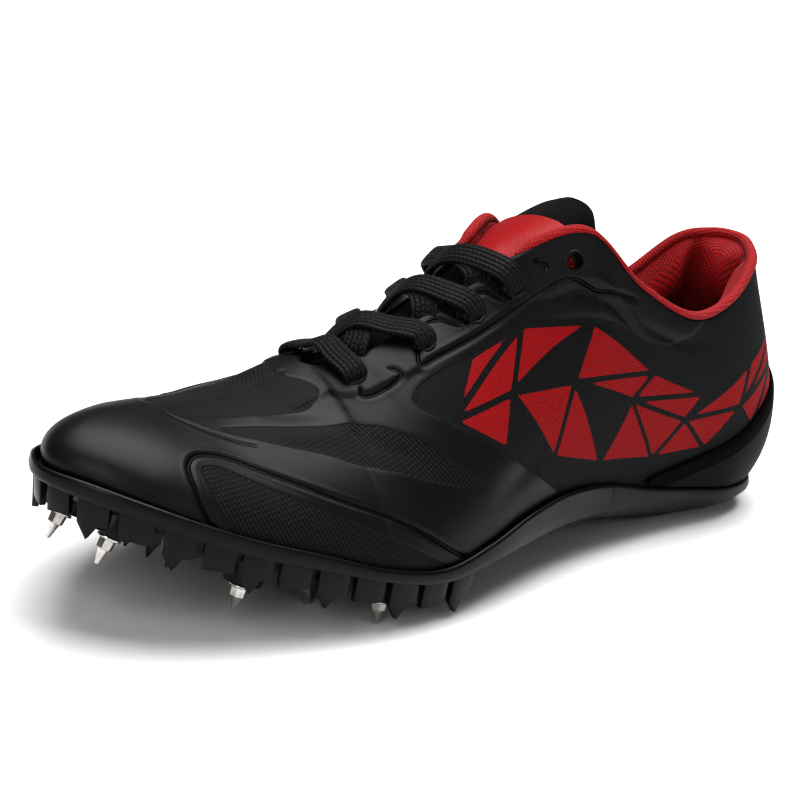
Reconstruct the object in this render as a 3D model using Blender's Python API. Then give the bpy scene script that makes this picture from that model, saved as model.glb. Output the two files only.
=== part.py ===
"""Track spike shoe, left foot: hollow upper on a moulded spike plate and heel wedge.

Metres, +Z up, +X to the toe, +Y to the outer side of the foot. The origin is the centre of
the heel's flat spot, on the floor. Every piece is worked out from the section tables below:
a row is one column of the last, running from the sole edge up to the throat or the ridge,
and the rows go from the back of the heel to the tip of the toe.
"""

import math

import bmesh
import bpy
from mathutils import Matrix, Vector

# Main sizes
LENGTH = 0.268
HEEL_BACK = 0.031
HEEL_WIDTH = 0.057
BALL_WIDTH = 0.0945
HEEL_HEIGHT = 0.0795
INSTEP_HEIGHT = 0.098
TOE_SPRING = 0.0395
ARCH_RISE = 0.0138
KEEL_DROP = 0.009
RIM_HEIGHT = 0.0102
GAP = 0.0003
CURVE_GAP = 0.0006

# Upper
UPPER_WALL = 0.0018
EYESTAY_STEP = 0.0007
EYESTAY_WIDTH = 0.015
EYESTAY_ROWS = (5.4, 11.9)
EYESTAY_FADE = 0.4
EYELET_INSET = 0.0085
EYELET_DIAMETER = 0.0045
EYELET_ROWS = (10.5, 9.1, 8.1, 7.3, 6.35)
THROAT_ROW = 11.0
THROAT_ROUND = 0.8
THROAT_WIDTH = 0.016

# Heel counter and collar lining
COUNTER_THICKNESS = 0.0008
COUNTER_ROW = 5.0
COUNTER_PEAK = 0.60
COUNTER_CLIMB = 0.82
LINING_ROW = 7.0
LINING_PAD = 0.0036
LINING_EDGE = 0.0012
LINING_RISE = 0.0016
LINING_DEPTH = 0.52

# Tongue and its label
TONGUE_THICKNESS = 0.0026
TONGUE_CROWN = 0.003
TONGUE_WING = 0.011
TONGUE_TOP_RISE = 0.0148
TONGUE_TOP_ROUND = 0.62
TONGUE_LEAN = 0.002
TONGUE_FRONT_ROW = 10.7
TONGUE_TOP_ROW = 6.4
LABEL_THICKNESS = 0.0005
LABEL_ROWS = (6.15, 7.1)

# Insole
INSOLE_THICKNESS = 0.003
INSOLE_TOE_THICKNESS = 0.0015
INSOLE_INSET = 0.0062

# Sole
RIM_WALL = 0.0014
LEDGE_RISE = 0.0015
LEDGE_WIDTH = 0.0036
HEEL_STACK = 0.0085
PLATE_THICKNESS = 0.0028
FLAT_SHARE = 0.45
SPLIT_ROW = 5.9
WELD = 0.00001
HEEL_POLE_INSET = 0.029
TOE_POLE_INSET = 0.033
TIP_OFFSET = 0.0005

# Perimeter fins, inner teeth and spikes of the plate
FIN_INSET = 0.0011
FIN_THICKNESS = 0.0024
FIN_HEIGHT = 0.0072
FIN_TOOTH = 0.0034
FIN_ROOT = 0.0008
FIN_FILL = 0.8
FIN_PACE = 0.0115
FIN_FIRST_ROW = 9.3
FIN_FLOOR = 0.0015
TOOTH_HEIGHT = 0.0055
TOOTH_WIDTH = 0.006
BOSS_DIAMETER = 0.0105
SPIKE_LENGTH = 0.0078
SPIKE_FLANGE = 0.0066
SPIKE_FLANGE_HEIGHT = 0.0009
SPIKE_HEX = 0.0047
SPIKE_HEX_HEIGHT = 0.0026
SPIKE_TIP = 0.0013
SPIKE_STAND = 0.0044
BALL_ROW = 11.5

# Laces
LACE_WIDTH = 0.0074
LACE_THICKNESS = 0.0016
LACE_CROWN = 0.0028
LACE_CLEARANCE = 0.0005
LACE_HOP = 0.0011
LACE_END = 0.92
LACE_LOW_END = 0.4
LACE_BACK = 0.6

# Plan and height of the sole edge. x is a share of LENGTH from the back of the heel, outer
# and inner are half widths as shares of the local width, fore moves the local width from
# HEEL_WIDTH to BALL_WIDTH, arch, spring, drop and rim are shares of ARCH_RISE, TOE_SPRING,
# KEEL_DROP and RIM_HEIGHT, and thin moves the bed from HEEL_STACK to PLATE_THICKNESS.
SOLE_COLUMNS = ("x", "outer", "inner", "fore", "arch", "spring", "drop", "rim", "thin")
SOLE_ROWS = (
    (0.000, 0.000, 0.000, 0.00, 0.36, 0.000, 0.00, 0.39, 0.00),
    (0.011, 0.219, 0.219, 0.00, 0.37, 0.000, 0.21, 0.40, 0.00),
    (0.043, 0.400, 0.396, 0.00, 0.40, 0.000, 0.55, 0.41, 0.00),
    (0.101, 0.496, 0.488, 0.00, 0.46, 0.000, 0.74, 0.42, 0.00),
    (0.175, 0.509, 0.491, 0.00, 0.65, 0.000, 1.03, 0.44, 0.10),
    (0.250, 0.502, 0.436, 0.10, 0.82, 0.000, 0.97, 0.57, 0.25),
    (0.325, 0.476, 0.359, 0.30, 0.94, 0.000, 0.77, 0.88, 0.45),
    (0.399, 0.468, 0.322, 0.55, 1.00, 0.000, 0.58, 1.00, 0.60),
    (0.474, 0.480, 0.328, 0.80, 1.00, 0.000, 0.47, 0.90, 0.75),
    (0.549, 0.498, 0.360, 1.00, 0.95, 0.000, 0.41, 0.61, 0.90),
    (0.623, 0.529, 0.415, 1.00, 0.88, 0.000, 0.42, 0.43, 1.00),
    (0.698, 0.522, 0.447, 1.00, 0.70, 0.152, 0.68, 0.39, 1.00),
    (0.772, 0.478, 0.444, 1.00, 0.40, 0.387, 0.80, 0.45, 1.00),
    (0.840, 0.423, 0.405, 1.00, 0.20, 0.575, 0.82, 0.49, 1.00),
    (0.896, 0.367, 0.333, 1.00, 0.10, 0.734, 0.76, 0.51, 1.00),
    (0.942, 0.290, 0.220, 1.00, 0.00, 0.881, 0.60, 0.50, 1.00),
    (0.981, 0.170, 0.108, 1.00, 0.00, 0.965, 0.30, 0.49, 1.00),
    (1.000, 0.020, -0.020, 1.00, 0.00, 1.000, 0.00, 0.41, 1.00),
)

# Top line of the upper: collar, throat edge, then the ridge over the toes. x is a share of
# LENGTH from the back of the heel, outer and inner are half widths as shares of HEEL_WIDTH,
# up moves the local height from HEEL_HEIGHT to INSTEP_HEIGHT, top is a share of it and
# lean is how much lower the inner side lies, as a share of INSTEP_HEIGHT.
TOP_COLUMNS = ("x", "outer", "inner", "up", "top", "lean")
TOP_ROWS = (
    (0.028, 0.000, 0.000, 0.0, 1.000, 0.000),
    (0.043, 0.150, 0.150, 0.0, 0.995, 0.000),
    (0.073, 0.300, 0.300, 0.0, 0.960, 0.012),
    (0.134, 0.425, 0.425, 0.0, 0.868, 0.078),
    (0.208, 0.485, 0.475, 0.2, 0.808, 0.088),
    (0.294, 0.455, 0.440, 0.6, 0.866, 0.082),
    (0.370, 0.365, 0.350, 1.0, 0.970, 0.076),
    (0.442, 0.222, 0.215, 1.0, 0.900, 0.045),
    (0.506, 0.178, 0.170, 1.0, 0.800, 0.042),
    (0.570, 0.160, 0.160, 1.0, 0.720, 0.042),
    (0.630, 0.140, 0.140, 1.0, 0.650, 0.034),
    (0.675, -0.050, 0.050, 1.0, 0.602, 0.000),
    (0.735, -0.050, 0.050, 1.0, 0.562, 0.000),
    (0.787, -0.050, 0.050, 1.0, 0.545, 0.000),
    (0.825, -0.050, 0.050, 1.0, 0.543, 0.000),
    (0.854, -0.048, 0.048, 1.0, 0.547, 0.000),
    (0.873, -0.046, 0.046, 1.0, 0.550, 0.000),
    (0.880, -0.045, 0.045, 1.0, 0.551, 0.000),
)

# Curve of each column between sole edge and top line: swell and lift place the lower
# handle, reach, flare and sink the upper one. lift and sink are shares of the column's
# height, reach of its width, swell and flare of HEEL_WIDTH.
FORM_COLUMNS = ("swell", "lift", "reach", "flare", "sink")
FORM_ROWS = (
    (0.225, 0.30, 0.00, 0.115, 0.38),
    (0.225, 0.30, 0.00, 0.120, 0.38),
    (0.225, 0.30, 0.00, 0.140, 0.36),
    (0.190, 0.30, 0.10, 0.125, 0.34),
    (0.120, 0.32, 0.25, 0.105, 0.34),
    (0.085, 0.34, 0.40, 0.085, 0.32),
    (0.060, 0.36, 0.45, 0.060, 0.28),
    (0.050, 0.38, 0.46, 0.045, 0.20),
    (0.050, 0.40, 0.46, 0.030, 0.12),
    (0.050, 0.42, 0.45, 0.015, 0.06),
    (0.050, 0.44, 0.43, 0.000, 0.03),
    (0.050, 0.44, 0.42, 0.000, 0.02),
    (0.050, 0.45, 0.42, 0.000, 0.00),
    (0.050, 0.47, 0.43, 0.000, 0.00),
    (0.062, 0.54, 0.50, 0.000, -0.04),
    (0.080, 0.62, 0.58, 0.000, -0.10),
    (0.095, 0.68, 0.64, 0.000, -0.16),
    (0.100, 0.70, 0.66, 0.000, -0.18),
)

LAST_ROW = len(SOLE_ROWS) - 1
OUTER = 1
INNER = -1

# Spikes from the toe back: row, side, share of the way out to a flange that just clears
# the fins
SPIKES = (
    (15.6, OUTER, 0.99),
    (15.6, INNER, 0.85),
    (12.5, OUTER, 0.71),
    (12.6, INNER, 0.81),
    (10.75, OUTER, 0.96),
    (10.9, INNER, 0.94),
    (11.2, OUTER, 0.54),
)

# Teeth on the plate between the spikes: row, side, share of the half width
TEETH = (
    (15.9, OUTER, 0.05),
    (14.2, OUTER, 0.72),
    (14.2, INNER, 0.72),
    (13.6, OUTER, 0.22),
    (13.4, INNER, 0.42),
    (12.3, OUTER, 0.12),
    (11.7, OUTER, 0.78),
    (11.6, INNER, 0.40),
    (11.3, INNER, 0.05),
    (10.3, OUTER, 0.35),
    (10.2, INNER, 0.45),
    (9.7, OUTER, 0.72),
    (9.6, INNER, 0.75),
)

MATERIALS = {
    "film": ((0.012, 0.012, 0.013), 0.0, 0.42),
    "counter": ((0.010, 0.010, 0.010), 0.0, 0.65),
    "red_mesh": ((0.55, 0.012, 0.016), 0.0, 0.80),
    "black_knit": ((0.010, 0.010, 0.010), 0.0, 0.90),
    "insole": ((0.020, 0.020, 0.020), 0.0, 0.85),
    "foam": ((0.035, 0.035, 0.036), 0.0, 0.60),
    "nylon": ((0.012, 0.012, 0.012), 0.0, 0.35),
    "steel": ((0.62, 0.60, 0.57), 1.0, 0.28),
    "lace": ((0.008, 0.008, 0.008), 0.0, 0.85),
}


def mix(low, high, share):
    """Value between low and high."""
    return low + (high - low) * share


def spline(before, start, end, after, share):
    """Smooth value between start and end, with their neighbours."""
    slope_a = (end - before) / 2
    slope_b = (after - start) / 2
    cube = share ** 3
    square = share ** 2
    return (
        (2 * cube - 3 * square + 1) * start
        + (cube - 2 * square + share) * slope_a
        + (3 * square - 2 * cube) * end
        + (cube - square) * slope_b
    )


def read(rows, columns, name, row):
    """A column's value at any row; past the heel or toe it runs on along the other side."""
    column = columns.index(name)
    opposite = {"outer": "inner", "inner": "outer"}.get(name)

    def value(index):
        if 0 <= index <= LAST_ROW:
            return rows[index][column]
        folded = -index if index < 0 else 2 * LAST_ROW - index
        if opposite:
            return -rows[folded][columns.index(opposite)]
        return rows[folded][column]

    base = min(int(math.floor(row)), LAST_ROW - 1)
    return spline(value(base - 1), value(base), value(base + 1), value(base + 2), row - base)


def sole(name, row):
    return read(SOLE_ROWS, SOLE_COLUMNS, name, row)


def top(name, row):
    return read(TOP_ROWS, TOP_COLUMNS, name, row)


def form(name, row):
    return read(FORM_ROWS, FORM_COLUMNS, name, row)


def half_name(side):
    return "outer" if side == OUTER else "inner"


def along(share):
    """World x of a share of the length."""
    return share * LENGTH - HEEL_BACK


def outline(row, side):
    """Plan of the rim: x and y of its outer edge."""
    width = mix(HEEL_WIDTH, BALL_WIDTH, sole("fore", row))
    return Vector((along(sole("x", row)), side * width * sole(half_name(side), row)))


def outward(row, side):
    """Unit plan direction that points out of the shoe at the rim."""
    step = 0.02
    low = row - step
    high = row + step
    run = outline(min(high, LAST_ROW + step), side) - outline(low, side)
    return Vector((-side * run.y, side * run.x)).normalized()


def edge_height(row):
    return ARCH_RISE * sole("arch", row) + TOE_SPRING * sole("spring", row)


def rim_height(row):
    return edge_height(row) + RIM_HEIGHT * sole("rim", row)


def ledge_height(row):
    return edge_height(row) + LEDGE_RISE


def keel_height(row):
    return max(0.0, edge_height(row) - KEEL_DROP * sole("drop", row))


def bed_height(row):
    return keel_height(row) + mix(HEEL_STACK, PLATE_THICKNESS, sole("thin", row))


def row_at(x):
    """Row whose sole edge lies at a world x."""
    low = 0.0
    high = float(LAST_ROW)
    for _ in range(24):
        middle = (low + high) / 2
        if along(sole("x", middle)) < x:
            low = middle
        else:
            high = middle
    return low


def spine(row):
    """Plan point of the centre line that a column's sole runs to."""
    heel_pole = along(0) + HEEL_POLE_INSET
    toe_pole = along(1) - TOE_POLE_INSET
    x = min(max(along(sole("x", row)), heel_pole), toe_pole)
    return Vector((x, TIP_OFFSET * min(max((row - 9) / 6, 0), 1)))


def inset_plan(row, side, inset):
    return outline(row, side) - outward(row, side) * inset


def bottom_point(row, side, share):
    """Underside of the sole, share 0 at the centre line and 1 at the edge."""
    plan = spine(row).lerp(outline(row, side), share)
    curl = max(0.0, (share - FLAT_SHARE) / (1 - FLAT_SHARE)) ** 2
    height = keel_height(row_at(plan.x)) + (edge_height(row) - keel_height(row)) * curl
    return Vector((plan.x, plan.y, height))


def bed_point(row, side, share, inset):
    """Upper face of the sole inside an inset line; share 0 at the centre line."""
    line = inset_plan(row, side, inset)
    plan = spine(row).lerp(line, share)
    climb = ledge_height(row) - bed_height(row_at(line.x))
    height = bed_height(row_at(plan.x)) + climb * share ** 2.5
    return Vector((plan.x, plan.y, height))


def throat_round(row):
    """Closes the throat's front end in a round."""
    start = THROAT_ROW - THROAT_ROUND
    return math.sqrt(max(0.0, 1 - (min(row - start, THROAT_ROUND) / THROAT_ROUND) ** 2))


def top_point(row, side):
    """Top line: collar, throat edge or ridge."""
    centre = -HEEL_WIDTH * top("inner", max(row, THROAT_ROW))
    half = side * HEEL_WIDTH * top(half_name(side), row)
    before = THROAT_ROW - THROAT_ROUND
    if row > before:
        start = side * HEEL_WIDTH * top(half_name(side), before)
        half = centre + (start - centre) * throat_round(row)
    height = mix(HEEL_HEIGHT, INSTEP_HEIGHT, top("up", row)) * top("top", row)
    if side == INNER and row < THROAT_ROW:
        height -= INSTEP_HEIGHT * top("lean", row)
    return Vector((along(top("x", row)), half, height))


def foot_point(row, side):
    """Lower edge of the upper, set in so that its swelling side just clears the rim."""
    height = top_point(row, side).z - ledge_height(row)
    slant = form("swell", row) * HEEL_WIDTH / (form("lift", row) * height)
    tuck = slant * (rim_height(row) - ledge_height(row))
    plan = inset_plan(row, side, RIM_WALL + GAP + tuck)
    return Vector((plan.x, plan.y, ledge_height(row) + GAP))


def skin(row, side, share):
    """Outer skin of the upper: share 0 at the sole edge, 1 at the top line."""
    foot = foot_point(row, side)
    crest = top_point(row, side)
    away = outward(row, side).to_3d()
    span = Vector((foot.x - crest.x, foot.y - crest.y, 0))
    height = crest.z - foot.z
    low = foot + away * (form("swell", row) * HEEL_WIDTH)
    low.z += form("lift", row) * height
    high = crest + span * form("reach", row) + away * (form("flare", row) * HEEL_WIDTH)
    high.z -= form("sink", row) * height
    rest = 1 - share
    return (
        foot * rest ** 3
        + low * (3 * rest ** 2 * share)
        + high * (3 * rest * share ** 2)
        + crest * share ** 3
    )


def skin_normal(row, side, share):
    """Unit normal of the outer skin, pointing out of the shoe."""
    step = 0.02
    low = max(share - step, 0.0)
    high = min(share + step, 1.0)
    rise = skin(row, side, high) - skin(row, side, low)
    back = max(row - step, -LAST_ROW)
    front = min(row + step, LAST_ROW + step)
    if row < THROAT_ROW < front:
        front = THROAT_ROW
    if row >= THROAT_ROW > back:
        back = THROAT_ROW
    run = skin(front, side, share) - skin(back, side, share)
    normal = run.cross(rise) * -side
    return normal.normalized()


def skin_offset(row, side, share, offset):
    """Point off the skin; on the ridge both sides share one normal."""
    normal = skin_normal(row, side, share)
    if share > 0.999 and row >= THROAT_ROW:
        normal = (normal + skin_normal(row, -side, share)).normalized()
    return skin(row, side, share) + normal * offset


def column_length(row, side):
    total = 0.0
    last = skin(row, side, 0)
    for index in range(1, 13):
        point = skin(row, side, index / 12)
        total += (point - last).length
        last = point
    return total


def share_below_top(row, side, distance):
    """Share of the column that lies a distance below the top line."""
    return 1 - distance / column_length(row, side)


def signed(row):
    """Row and side for a signed row, negative on the inner side."""
    return abs(row), OUTER if row >= 0 else INNER


def material(name):
    """Principled material of a given finish, made once."""
    found = bpy.data.materials.get(name)
    if found:
        return found
    colour, metallic, roughness = MATERIALS[name]
    made = bpy.data.materials.new(name)
    made.use_nodes = True
    shader = made.node_tree.nodes["Principled BSDF"]
    shader.inputs["Base Color"].default_value = (*colour, 1)
    shader.inputs["Metallic"].default_value = metallic
    shader.inputs["Roughness"].default_value = roughness
    return made


def finish(name, mesh, finish_name):
    """Object from a bmesh: doubles merged, faces out, triangles shaded smooth."""
    bmesh.ops.remove_doubles(mesh, verts=mesh.verts, dist=WELD)
    bmesh.ops.dissolve_degenerate(mesh, edges=mesh.edges, dist=1e-7)
    bmesh.ops.recalc_face_normals(mesh, faces=mesh.faces)
    data = bpy.data.meshes.new(name)
    mesh.to_mesh(data)
    mesh.free()
    made = bpy.data.objects.new(name, data)
    bpy.context.collection.objects.link(made)
    made.data.materials.append(material(finish_name))
    data.shade_smooth()
    data.set_sharp_from_angle(angle=math.radians(35))
    return made


def skin_grid(mesh, rings):
    """Quads between closed rings of points."""
    made = [[mesh.verts.new(point) for point in ring] for ring in rings]
    for here, there in zip(made, made[1:]):
        for point in range(len(here)):
            after = (point + 1) % len(here)
            mesh.faces.new((here[point], here[after], there[after], there[point]))
    return made


def cap_ends(mesh, made):
    mesh.faces.new(made[0])
    mesh.faces.new(list(reversed(made[-1])))


def loft(name, rings, finish_name):
    """Closed solid through closed rings, with both ends capped."""
    mesh = bmesh.new()
    cap_ends(mesh, skin_grid(mesh, rings))
    return finish(name, mesh, finish_name)


def apply_boolean(target, cutter, operation):
    """Exact Boolean with a guide that stays hidden."""
    cutter.hide_render = True
    cutter.display_type = "WIRE"
    step = target.modifiers.new(cutter.name, "BOOLEAN")
    step.operation = operation
    step.solver = "EXACT"
    step.use_self = operation == "UNION"
    step.object = cutter


def column_shares(row, side):
    """Shares up a column, with a close pair at the eyestay's edge."""
    low_steps = 7
    high_steps = 3
    border = share_below_top(row, side, EYESTAY_WIDTH)
    lip = share_below_top(row, side, EYESTAY_WIDTH - 1.2 * EYESTAY_STEP)
    low = [border * index / low_steps for index in range(low_steps + 1)]
    high = [mix(lip, 1.0, index / high_steps) for index in range(high_steps + 1)]
    return low, high


def eyestay_step(row):
    """Height of the eyestay over the upper: full along the throat, none on collar or toe."""
    start, end = EYESTAY_ROWS
    rise = min(max((row - start) / EYESTAY_FADE, 0), 1)
    fall = min(max((end - row) / EYESTAY_FADE, 0), 1)
    return EYESTAY_STEP * min(rise, fall)


def build_upper():
    """Hollow upper: one wall from the sole edge to collar, throat edge and toe ridge."""
    mesh = bmesh.new()
    rows_per_side = 2 * LAST_ROW
    step = LAST_ROW / rows_per_side
    outside = {}
    inside = {}
    for side in (OUTER, INNER):
        for index in range(rows_per_side + 1):
            row = index * step
            if side == INNER and index in (0, rows_per_side):
                outside[side, index] = outside[OUTER, index]
                inside[side, index] = inside[OUTER, index]
                continue
            low, high = column_shares(row, side)
            raised = eyestay_step(row)
            column = [skin_offset(row, side, share, 0.0) for share in low]
            column += [skin_offset(row, side, share, raised) for share in high]
            outside[side, index] = [mesh.verts.new(point) for point in column]
            shares = low + high
            column = [skin_offset(row, side, share, -UPPER_WALL) for share in shares]
            inside[side, index] = [mesh.verts.new(point) for point in column]
    for side in (OUTER, INNER):
        for index in range(rows_per_side):
            for wall in (outside, inside):
                here = wall[side, index]
                there = wall[side, index + 1]
                for level in range(len(here) - 1):
                    mesh.faces.new((here[level], here[level + 1], there[level + 1], there[level]))
            for level in (0, -1):
                if level == 0 or (index + 1) * step <= THROAT_ROW:
                    corners = (
                        outside[side, index][level],
                        outside[side, index + 1][level],
                        inside[side, index + 1][level],
                        inside[side, index][level],
                    )
                    mesh.faces.new(corners)
    upper = finish("upper", mesh, "film")
    apply_boolean(upper, eyelet_punches(), "DIFFERENCE")
    return upper


def eyelet_centre(row, side, offset):
    return skin_offset(row, side, share_below_top(row, side, EYELET_INSET), offset)


def eyelet_punches():
    """Round punches through the eyestay, one for each eyelet."""
    mesh = bmesh.new()
    for row in EYELET_ROWS:
        for side in (OUTER, INNER):
            share = share_below_top(row, side, EYELET_INSET)
            axis = skin_normal(row, side, share)
            place = Matrix.Translation(eyelet_centre(row, side, 0))
            place = place @ axis.to_track_quat("Z", "Y").to_matrix().to_4x4()
            bmesh.ops.create_cone(
                mesh,
                cap_ends=True,
                segments=12,
                radius1=EYELET_DIAMETER / 2,
                radius2=EYELET_DIAMETER / 2,
                depth=6 * UPPER_WALL,
                matrix=place,
            )
    return finish("eyelet_punches", mesh, "film")


def sole_half(row, side):
    """Half section of the sole, from the keel out, over the rim and in along the bed."""
    rim = outline(row, side)
    wall = inset_plan(row, side, RIM_WALL)
    inner = inset_plan(row, side, RIM_WALL + LEDGE_WIDTH)
    edge = edge_height(row)
    crest = rim_height(row)
    ledge = ledge_height(row)
    inset = RIM_WALL + LEDGE_WIDTH
    under = [bottom_point(row, side, share) for share in (0, FLAT_SHARE, 0.66, 0.84, 0.95)]
    side_wall = [
        Vector((rim.x, rim.y, mix(edge, crest, 0.2))),
        Vector((rim.x, rim.y, crest)),
        Vector((wall.x, wall.y, crest)),
        Vector((wall.x, wall.y, ledge)),
        Vector((inner.x, inner.y, ledge)),
    ]
    bed = [bed_point(row, side, share, inset) for share in (0.75, 0.45, 0)]
    return under + side_wall + bed


def sole_section(row):
    """Whole closed section: outer half, then the inner half back to the keel."""
    inner = sole_half(row, INNER)
    return sole_half(row, OUTER) + list(reversed(inner))[1:-1]


def half_rows(start, end):
    """Start, every whole and half row between, and end."""
    inner = [index / 2 for index in range(2 * LAST_ROW + 1)]
    return [start] + [row for row in inner if start + 0.05 < row < end - 0.05] + [end]


def sole_body(name, start, end, finish_name):
    rings = [sole_section(row) for row in half_rows(start, end)]
    mesh = bmesh.new()
    made = skin_grid(mesh, rings)
    cut_end = made[-1] if start == 0 else made[0]
    mesh.faces.new(cut_end)
    bmesh.ops.remove_doubles(mesh, verts=mesh.verts, dist=WELD)
    close_tip(mesh)
    return finish(name, mesh, finish_name)


def close_tip(mesh):
    """Drops the folded faces where both halves of the tip's section coincide."""
    mesh.verts.index_update()
    seen = {}
    for face in list(mesh.faces):
        key = tuple(sorted(vert.index for vert in face.verts))
        seen.setdefault(key, []).append(face)
    for twins in seen.values():
        if len(twins) > 1:
            bmesh.ops.delete(mesh, geom=twins, context="FACES_ONLY")


def split_row(way):
    """Row where foam and plate meet, moved half a gap to one side."""
    pace = (outline(SPLIT_ROW + 0.5, OUTER) - outline(SPLIT_ROW - 0.5, OUTER)).x
    return SPLIT_ROW + way * CURVE_GAP / (2 * pace)


def build_midsole():
    """Foam wedge from the heel to the waist, with its raised side wing."""
    return sole_body("midsole", 0, split_row(-1), "foam")


def fin_rows():
    """Rows where the plate's fins start and end, right round the forefoot."""
    spans = []
    for side in (OUTER, INNER):
        row = FIN_FIRST_ROW
        while row < LAST_ROW - 0.2:
            tenth = (outline(row + 0.1, side) - outline(row, side)).length
            end = min(row + 0.1 * FIN_PACE / max(tenth, WELD), LAST_ROW)
            spans.append((side, row, mix(row, end, FIN_FILL)))
            row = end
    return spans


def add_fin(mesh, side, start, end, toothed):
    """One fin: a plate under the rim with its foot cut to a tooth at one end."""
    drops = (0.8, 0.88, 1 + FIN_TOOTH / FIN_HEIGHT, 0.92) if toothed else (0.85, 1.0)
    rows = [mix(start, end, index / (len(drops) - 1)) for index in range(len(drops))]
    rings = []
    for row, drop in zip(rows, drops):
        near = inset_plan(row, side, FIN_INSET)
        far = inset_plan(row, side, FIN_INSET + FIN_THICKNESS)
        foot_near = inset_plan(row, side, FIN_INSET + 0.25 * FIN_THICKNESS)
        crest = edge_height(row) + FIN_ROOT
        foot = max(edge_height(row) - FIN_HEIGHT * drop, FIN_FLOOR)
        rings.append(
            [
                Vector((near.x, near.y, crest)),
                Vector((far.x, far.y, crest)),
                Vector((far.x, far.y, foot)),
                Vector((foot_near.x, foot_near.y, foot)),
            ]
        )
    cap_ends(mesh, skin_grid(mesh, rings))


def plate_frame(row, side, share):
    """Point on the plate's underside and the unit direction straight out of it."""
    here = bottom_point(row, side, share)
    ahead = bottom_point(row + 0.3, side, share)
    behind = bottom_point(row - 0.3, side, share)
    slope = (ahead.z - behind.z) / max(ahead.x - behind.x, 1e-4)
    tilt = math.atan(slope) if row > BALL_ROW else 0.0
    return here, Vector((math.sin(tilt), 0, -math.cos(tilt)))


def spike_frame(row, side, way_out):
    """Plate frame at a spike, whose flange stays inside the fins."""
    reach = (outline(row, side) - spine(row)).length
    margin = FIN_INSET + FIN_THICKNESS + CURVE_GAP + SPIKE_FLANGE / 2
    return plate_frame(row, side, way_out * (1 - margin / reach))


def spike_seat(row, side, way_out):
    """Top centre of a spike and its direction; the rear spikes stand on the floor."""
    here, down = spike_frame(row, side, way_out)
    if row < BALL_ROW:
        return Vector((here.x, here.y, SPIKE_LENGTH)), Vector((0, 0, -1))
    return here + down * SPIKE_STAND, down


def turned(axis, origin):
    """Placement that takes +Z to an axis and the origin to a point."""
    return Matrix.Translation(origin) @ axis.to_track_quat("Z", "Y").to_matrix().to_4x4()


def add_round(mesh, origin, axis, stations, segments):
    """Turned piece along an axis; stations are (distance, radius)."""
    place = turned(axis, origin)
    rings = []
    for distance, radius in stations:
        ring = []
        for index in range(segments):
            angle = 2 * math.pi * index / segments
            ring.append(place @ Vector((radius * math.cos(angle), radius * math.sin(angle), distance)))
        rings.append(ring)
    cap_ends(mesh, skin_grid(mesh, rings))


def build_plate():
    """Nylon spike plate: cupped rim, fins, teeth and a boss behind each spike."""
    plate = sole_body("spike_plate", split_row(1), LAST_ROW, "nylon")
    mesh = bmesh.new()
    for index, (side, start, end) in enumerate(fin_rows()):
        add_fin(mesh, side, start, end, index % 2 == 0)
    bmesh.ops.recalc_face_normals(mesh, faces=mesh.faces)
    apply_boolean(plate, finish("fin_guide", mesh, "nylon"), "UNION")
    mesh = bmesh.new()
    root = 0.6 * PLATE_THICKNESS
    for row, side, way_out in SPIKES:
        seat, down = spike_seat(row, side, way_out)
        here, _ = spike_frame(row, side, way_out)
        depth = (seat - here).dot(down) + root
        radius = BOSS_DIAMETER / 2
        start = seat - down * (depth + GAP)
        add_round(mesh, start, down, ((0, radius * 1.1), (depth, radius)), 14)
    for row, side, share in TEETH:
        here, down = plate_frame(row, side, share)
        half = TOOTH_WIDTH / 2
        stations = ((0, half), (root, half), (root + TOOTH_HEIGHT, 0.12 * half))
        add_round(mesh, here - down * root, down, stations, 4)
    apply_boolean(plate, finish("boss_guide", mesh, "nylon"), "UNION")
    return plate


def build_spikes():
    """Steel spikes: flange, hexagon body and a blunt cone."""
    for number, (row, side, way_out) in enumerate(SPIKES, 1):
        seat, down = spike_seat(row, side, way_out)
        mesh = bmesh.new()
        flange = SPIKE_FLANGE / 2
        body = SPIKE_HEX / 2
        end_body = SPIKE_FLANGE_HEIGHT + SPIKE_HEX_HEIGHT
        stations = (
            (0, flange),
            (SPIKE_FLANGE_HEIGHT, flange),
            (SPIKE_FLANGE_HEIGHT, body),
            (end_body, body * 0.9),
            (end_body, body * 0.55),
            (SPIKE_LENGTH, SPIKE_TIP / 2),
        )
        add_round(mesh, seat, down, stations, 8)
        finish("spike_%d" % number, mesh, "steel")


def build_insole():
    """Thin cushioned insole on the bed, thinner at the toe."""
    rings = []
    for row in half_rows(0, LAST_ROW):
        thick = mix(INSOLE_THICKNESS, INSOLE_TOE_THICKNESS, min(max((row - 9) / 6, 0), 1))
        halves = []
        for side in (OUTER, INNER):
            lower = []
            for share in (0, 0.5, 1):
                point = bed_point(row, side, share, INSOLE_INSET)
                point.z += CURVE_GAP
                lower.append(point)
            upper = [point + Vector((0, 0, thick)) for point in reversed(lower)]
            halves.append(lower + upper)
        rings.append(halves[0] + list(reversed(halves[1]))[1:-1])
    mesh = bmesh.new()
    skin_grid(mesh, rings)
    bmesh.ops.remove_doubles(mesh, verts=mesh.verts, dist=WELD)
    close_tip(mesh)
    return finish("insole", mesh, "insole")


def build_counter():
    """Outer heel counter: a panel laid on the upper, its front edge running up and back."""
    rings = []
    count = int(4 * COUNTER_ROW)
    for index in range(count + 1):
        row, side = signed(mix(-COUNTER_ROW, COUNTER_ROW, index / count))
        lift = (rim_height(row) + GAP - foot_point(row, side).z) / (top_point(row, side).z * COUNTER_CLIMB)
        reach = math.cos(math.pi / 2 * row / COUNTER_ROW)
        crest = mix(lift + 0.03, COUNTER_PEAK, reach)
        shares = [mix(lift + 0.01, crest, step / 5) for step in range(6)]
        low = [skin_offset(row, side, share, GAP) for share in shares]
        high = [skin_offset(row, side, share, GAP + COUNTER_THICKNESS) for share in shares]
        rings.append(low + list(reversed(high)))
    return loft("heel_counter", rings, "counter")


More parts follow.
